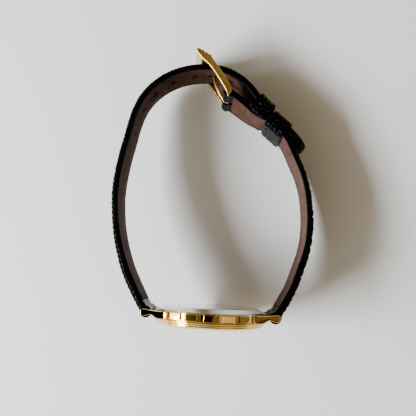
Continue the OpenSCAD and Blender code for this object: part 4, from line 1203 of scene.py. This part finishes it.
FINISH = {
    "crystal_gasket": "movement_plastic", "movement_holder": "movement_plastic", "main_plate": "movement_brass",
    "train_bridge": "movement_steel", "movement_screws": "movement_steel", "battery": "battery_steel",
    "battery_clamp": "movement_steel", "coil_winding": "coil_copper", "coil_core": "movement_steel",
    "stator": "movement_steel", "rotor": "rotor_magnet", "intermediate_wheel": "movement_brass",
    "center_wheel": "movement_brass", "minute_wheel": "movement_brass", "hour_wheel": "movement_brass",
    "setting_wheel": "movement_brass", "circuit_board": "circuit_green", "quartz_can": "battery_steel",
    "control_chip": "chip_black", "clutch_pinion": "movement_steel", "winding_stem": "movement_steel",
    "setting_lever": "movement_steel", "stem_tube": "movement_steel", "crown_gasket": "seal_rubber",
    "back_gasket": "seal_rubber", "spring_bar_tube_12": "spring_bar_steel", "spring_bar_tube_6": "spring_bar_steel",
    "buckle_bar_tube": "spring_bar_steel", "spring_bar_springs": "spring_bar_steel",
    "mid_case": "gold_case", "bezel": "gold_case", "crown": "gold_crown", "case_back": "steel_back", "crystal": "crystal_glass",
    "dial": "dial_enamel", "hour_markers": "gold_markers", "hour_hand": "gold_markers", "minute_hand": "gold_markers",
    "strap_12_upper": "black_leather", "strap_6_upper": "black_leather", "strap_12_lining": "lining_leather",
    "strap_6_lining": "lining_leather", "fixed_keeper": "keeper_leather", "free_keeper": "keeper_leather",
    "buckle_frame": "gold_buckle", "buckle_tongue": "gold_buckle",
}
for node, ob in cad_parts.items():
    key = FINISH.get(node, "spring_bar_steel")
    ob.data.materials.clear()
    ob.data.materials.append(M[key])

# ---------------------------------------------------------------- stage

half = 2.5
me = bpy.data.meshes.new("floor")
me.from_pydata([(-half, -half, 0), (half, -half, 0), (half, half, 0), (-half, half, 0)], [], [(0, 1, 2, 3)])
floor = bpy.data.objects.new("floor", me)
bpy.context.scene.collection.objects.link(floor)
me.materials.append(floor_finish())

scene = bpy.context.scene
world = bpy.data.worlds.new("studio") if scene.world is None else scene.world
scene.world = world
world.use_nodes = True
nt = world.node_tree
nt.nodes.clear()
out = nt.nodes.new("ShaderNodeOutputWorld")
bg = nt.nodes.new("ShaderNodeBackground")
nt.links.new(bg.outputs[0], out.inputs[0])
tc = nt.nodes.new("ShaderNodeTexCoord")


def toward(direction, stops):
    """Grey by the angle from a direction: stops of (cosine, colour)."""
    d = nt.nodes.new("ShaderNodeVectorMath")
    d.operation = "DOT_PRODUCT"
    v = Vector(direction).normalized()
    d.inputs[1].default_value = v
    nt.links.new(tc.outputs["Generated"], d.inputs[0])
    mr = nt.nodes.new("ShaderNodeMapRange")
    mr.inputs[1].default_value = -1
    mr.inputs[2].default_value = 1
    nt.links.new(d.outputs["Value"], mr.inputs[0])
    r = nt.nodes.new("ShaderNodeValToRGB")
    e = r.color_ramp.elements
    while len(e) < len(stops):
        e.new(0.5)
    for s, (p, c) in zip(e, stops):
        s.position = (p + 1) / 2
        s.color = (*c, 1)
    nt.links.new(mr.outputs[0], r.inputs[0])
    return r.outputs[0]


def times(a, b):
    n = nt.nodes.new("ShaderNodeMix")
    n.data_type = "RGBA"
    n.blend_type = "MULTIPLY"
    n.inputs[0].default_value = 1
    nt.links.new(a, n.inputs[6])
    nt.links.new(b, n.inputs[7])
    return n.outputs[2]


room = toward((-0.75, -0.45, 0.35), [(-1.0, (0.30, 0.22, 0.12)), (-0.2, (0.42, 0.33, 0.20)), (0.5, (0.72, 0.60, 0.43)), (0.95, (2.0, 1.9, 1.76))])
overhead = toward((0.0, 0.071, 0.9975), [(-1.0, (1, 1, 1)), (0.80, (1, 1, 1)), (0.90, (0.6, 0.53, 0.4)), (0.978, (0.5, 0.43, 0.31)), (0.9835, (0.01, 0.01, 0.01)), (1.0, (0.004, 0.004, 0.004))])
beside = toward((0.12, -0.05, 0.991), [(-1.0, (1, 1, 1)), (0.986, (1, 1, 1)), (0.99, (0.01, 0.01, 0.01)), (1.0, (0.004, 0.004, 0.004))])
aside = toward((-0.502, 0.051, 0.863), [(-1.0, (1, 1, 1)), (0.95, (1, 1, 1)), (0.972, (0.22, 0.18, 0.12)), (1.0, (0.15, 0.12, 0.08))])
# light thrown up by the sill, seen in the polished sides
sill = toward((-0.923, -0.018, 0.384), [(-1.0, (0, 0, 0)), (0.972, (0, 0, 0)), (0.982, (8.0, 8.2, 8.5)), (1.0, (10.0, 10.3, 10.6))])
ceiling = toward((0.709, 0.028, 0.705), [(-1.0, (0, 0, 0)), (0.95, (0, 0, 0)), (0.965, (0.85, 0.72, 0.48)), (1.0, (0.95, 0.82, 0.56))])


def plus(a, b):
    n = nt.nodes.new("ShaderNodeMix")
    n.data_type = "RGBA"
    n.blend_type = "ADD"
    n.inputs[0].default_value = 1
    nt.links.new(a, n.inputs[6])
    nt.links.new(b, n.inputs[7])
    return n.outputs[2]


nt.links.new(plus(plus(times(times(times(room, overhead), beside), aside), sill), ceiling), bg.inputs[0])
bg.inputs[1].default_value = 0.7


def area(name, loc, aim, size, power, colour, size_y=None):
    d = bpy.data.lights.new(name, "AREA")
    d.shape = "RECTANGLE"
    d.size = size
    d.size_y = size_y or size
    d.energy = power
    d.color = colour
    o = bpy.data.objects.new(name, d)
    bpy.context.scene.collection.objects.link(o)
    o.location = loc
    o.rotation_euler = (Vector(aim) - Vector(loc)).to_track_quat("-Z", "Y").to_euler()
    return o


az, el, far = math.radians(198), math.radians(37), 0.58
area("window", (far * math.cos(el) * math.cos(az), far * math.cos(el) * math.sin(az), far * math.sin(el)), (0, 0, 0.01), 0.35, 8.6, (0.90, 0.955, 1.0), 0.18)

# ---------------------------------------------------------------- camera

YAW, MID = math.radians(-2.801591), np.array([0.38925579, -0.75502413, 0.0])
TH, PH = math.radians(6.16), math.radians(-1.01)
EYE = np.array([-0.2559, 26.3528, 153.5115])
A0 = np.array([[math.cos(PH), 0, math.sin(PH)],
               [-math.sin(TH) * math.sin(PH), math.cos(TH), math.sin(TH) * math.cos(PH)],
               [-math.cos(TH) * math.sin(PH), -math.sin(TH), math.cos(TH) * math.cos(PH)]])
AX = A0 @ rz(YAW)
eye = rz(YAW).T @ (A0.T @ EYE - MID)
axes = REST @ AX.T
pos = row(eye[None])[0]
cam = bpy.data.cameras.new("camera")
cam.sensor_width = 36
cam.lens = 600 * 36 / 416
cam.clip_start = 0.005
cam.clip_end = 20
co = bpy.data.objects.new("camera", cam)
bpy.context.scene.collection.objects.link(co)
mat = Matrix.Identity(4)
for i in range(3):
    for j in range(3):
        mat[i][j] = float(axes[i, j])
    mat[i][3] = float(pos[i])
co.matrix_world = mat
bpy.context.scene.camera = co
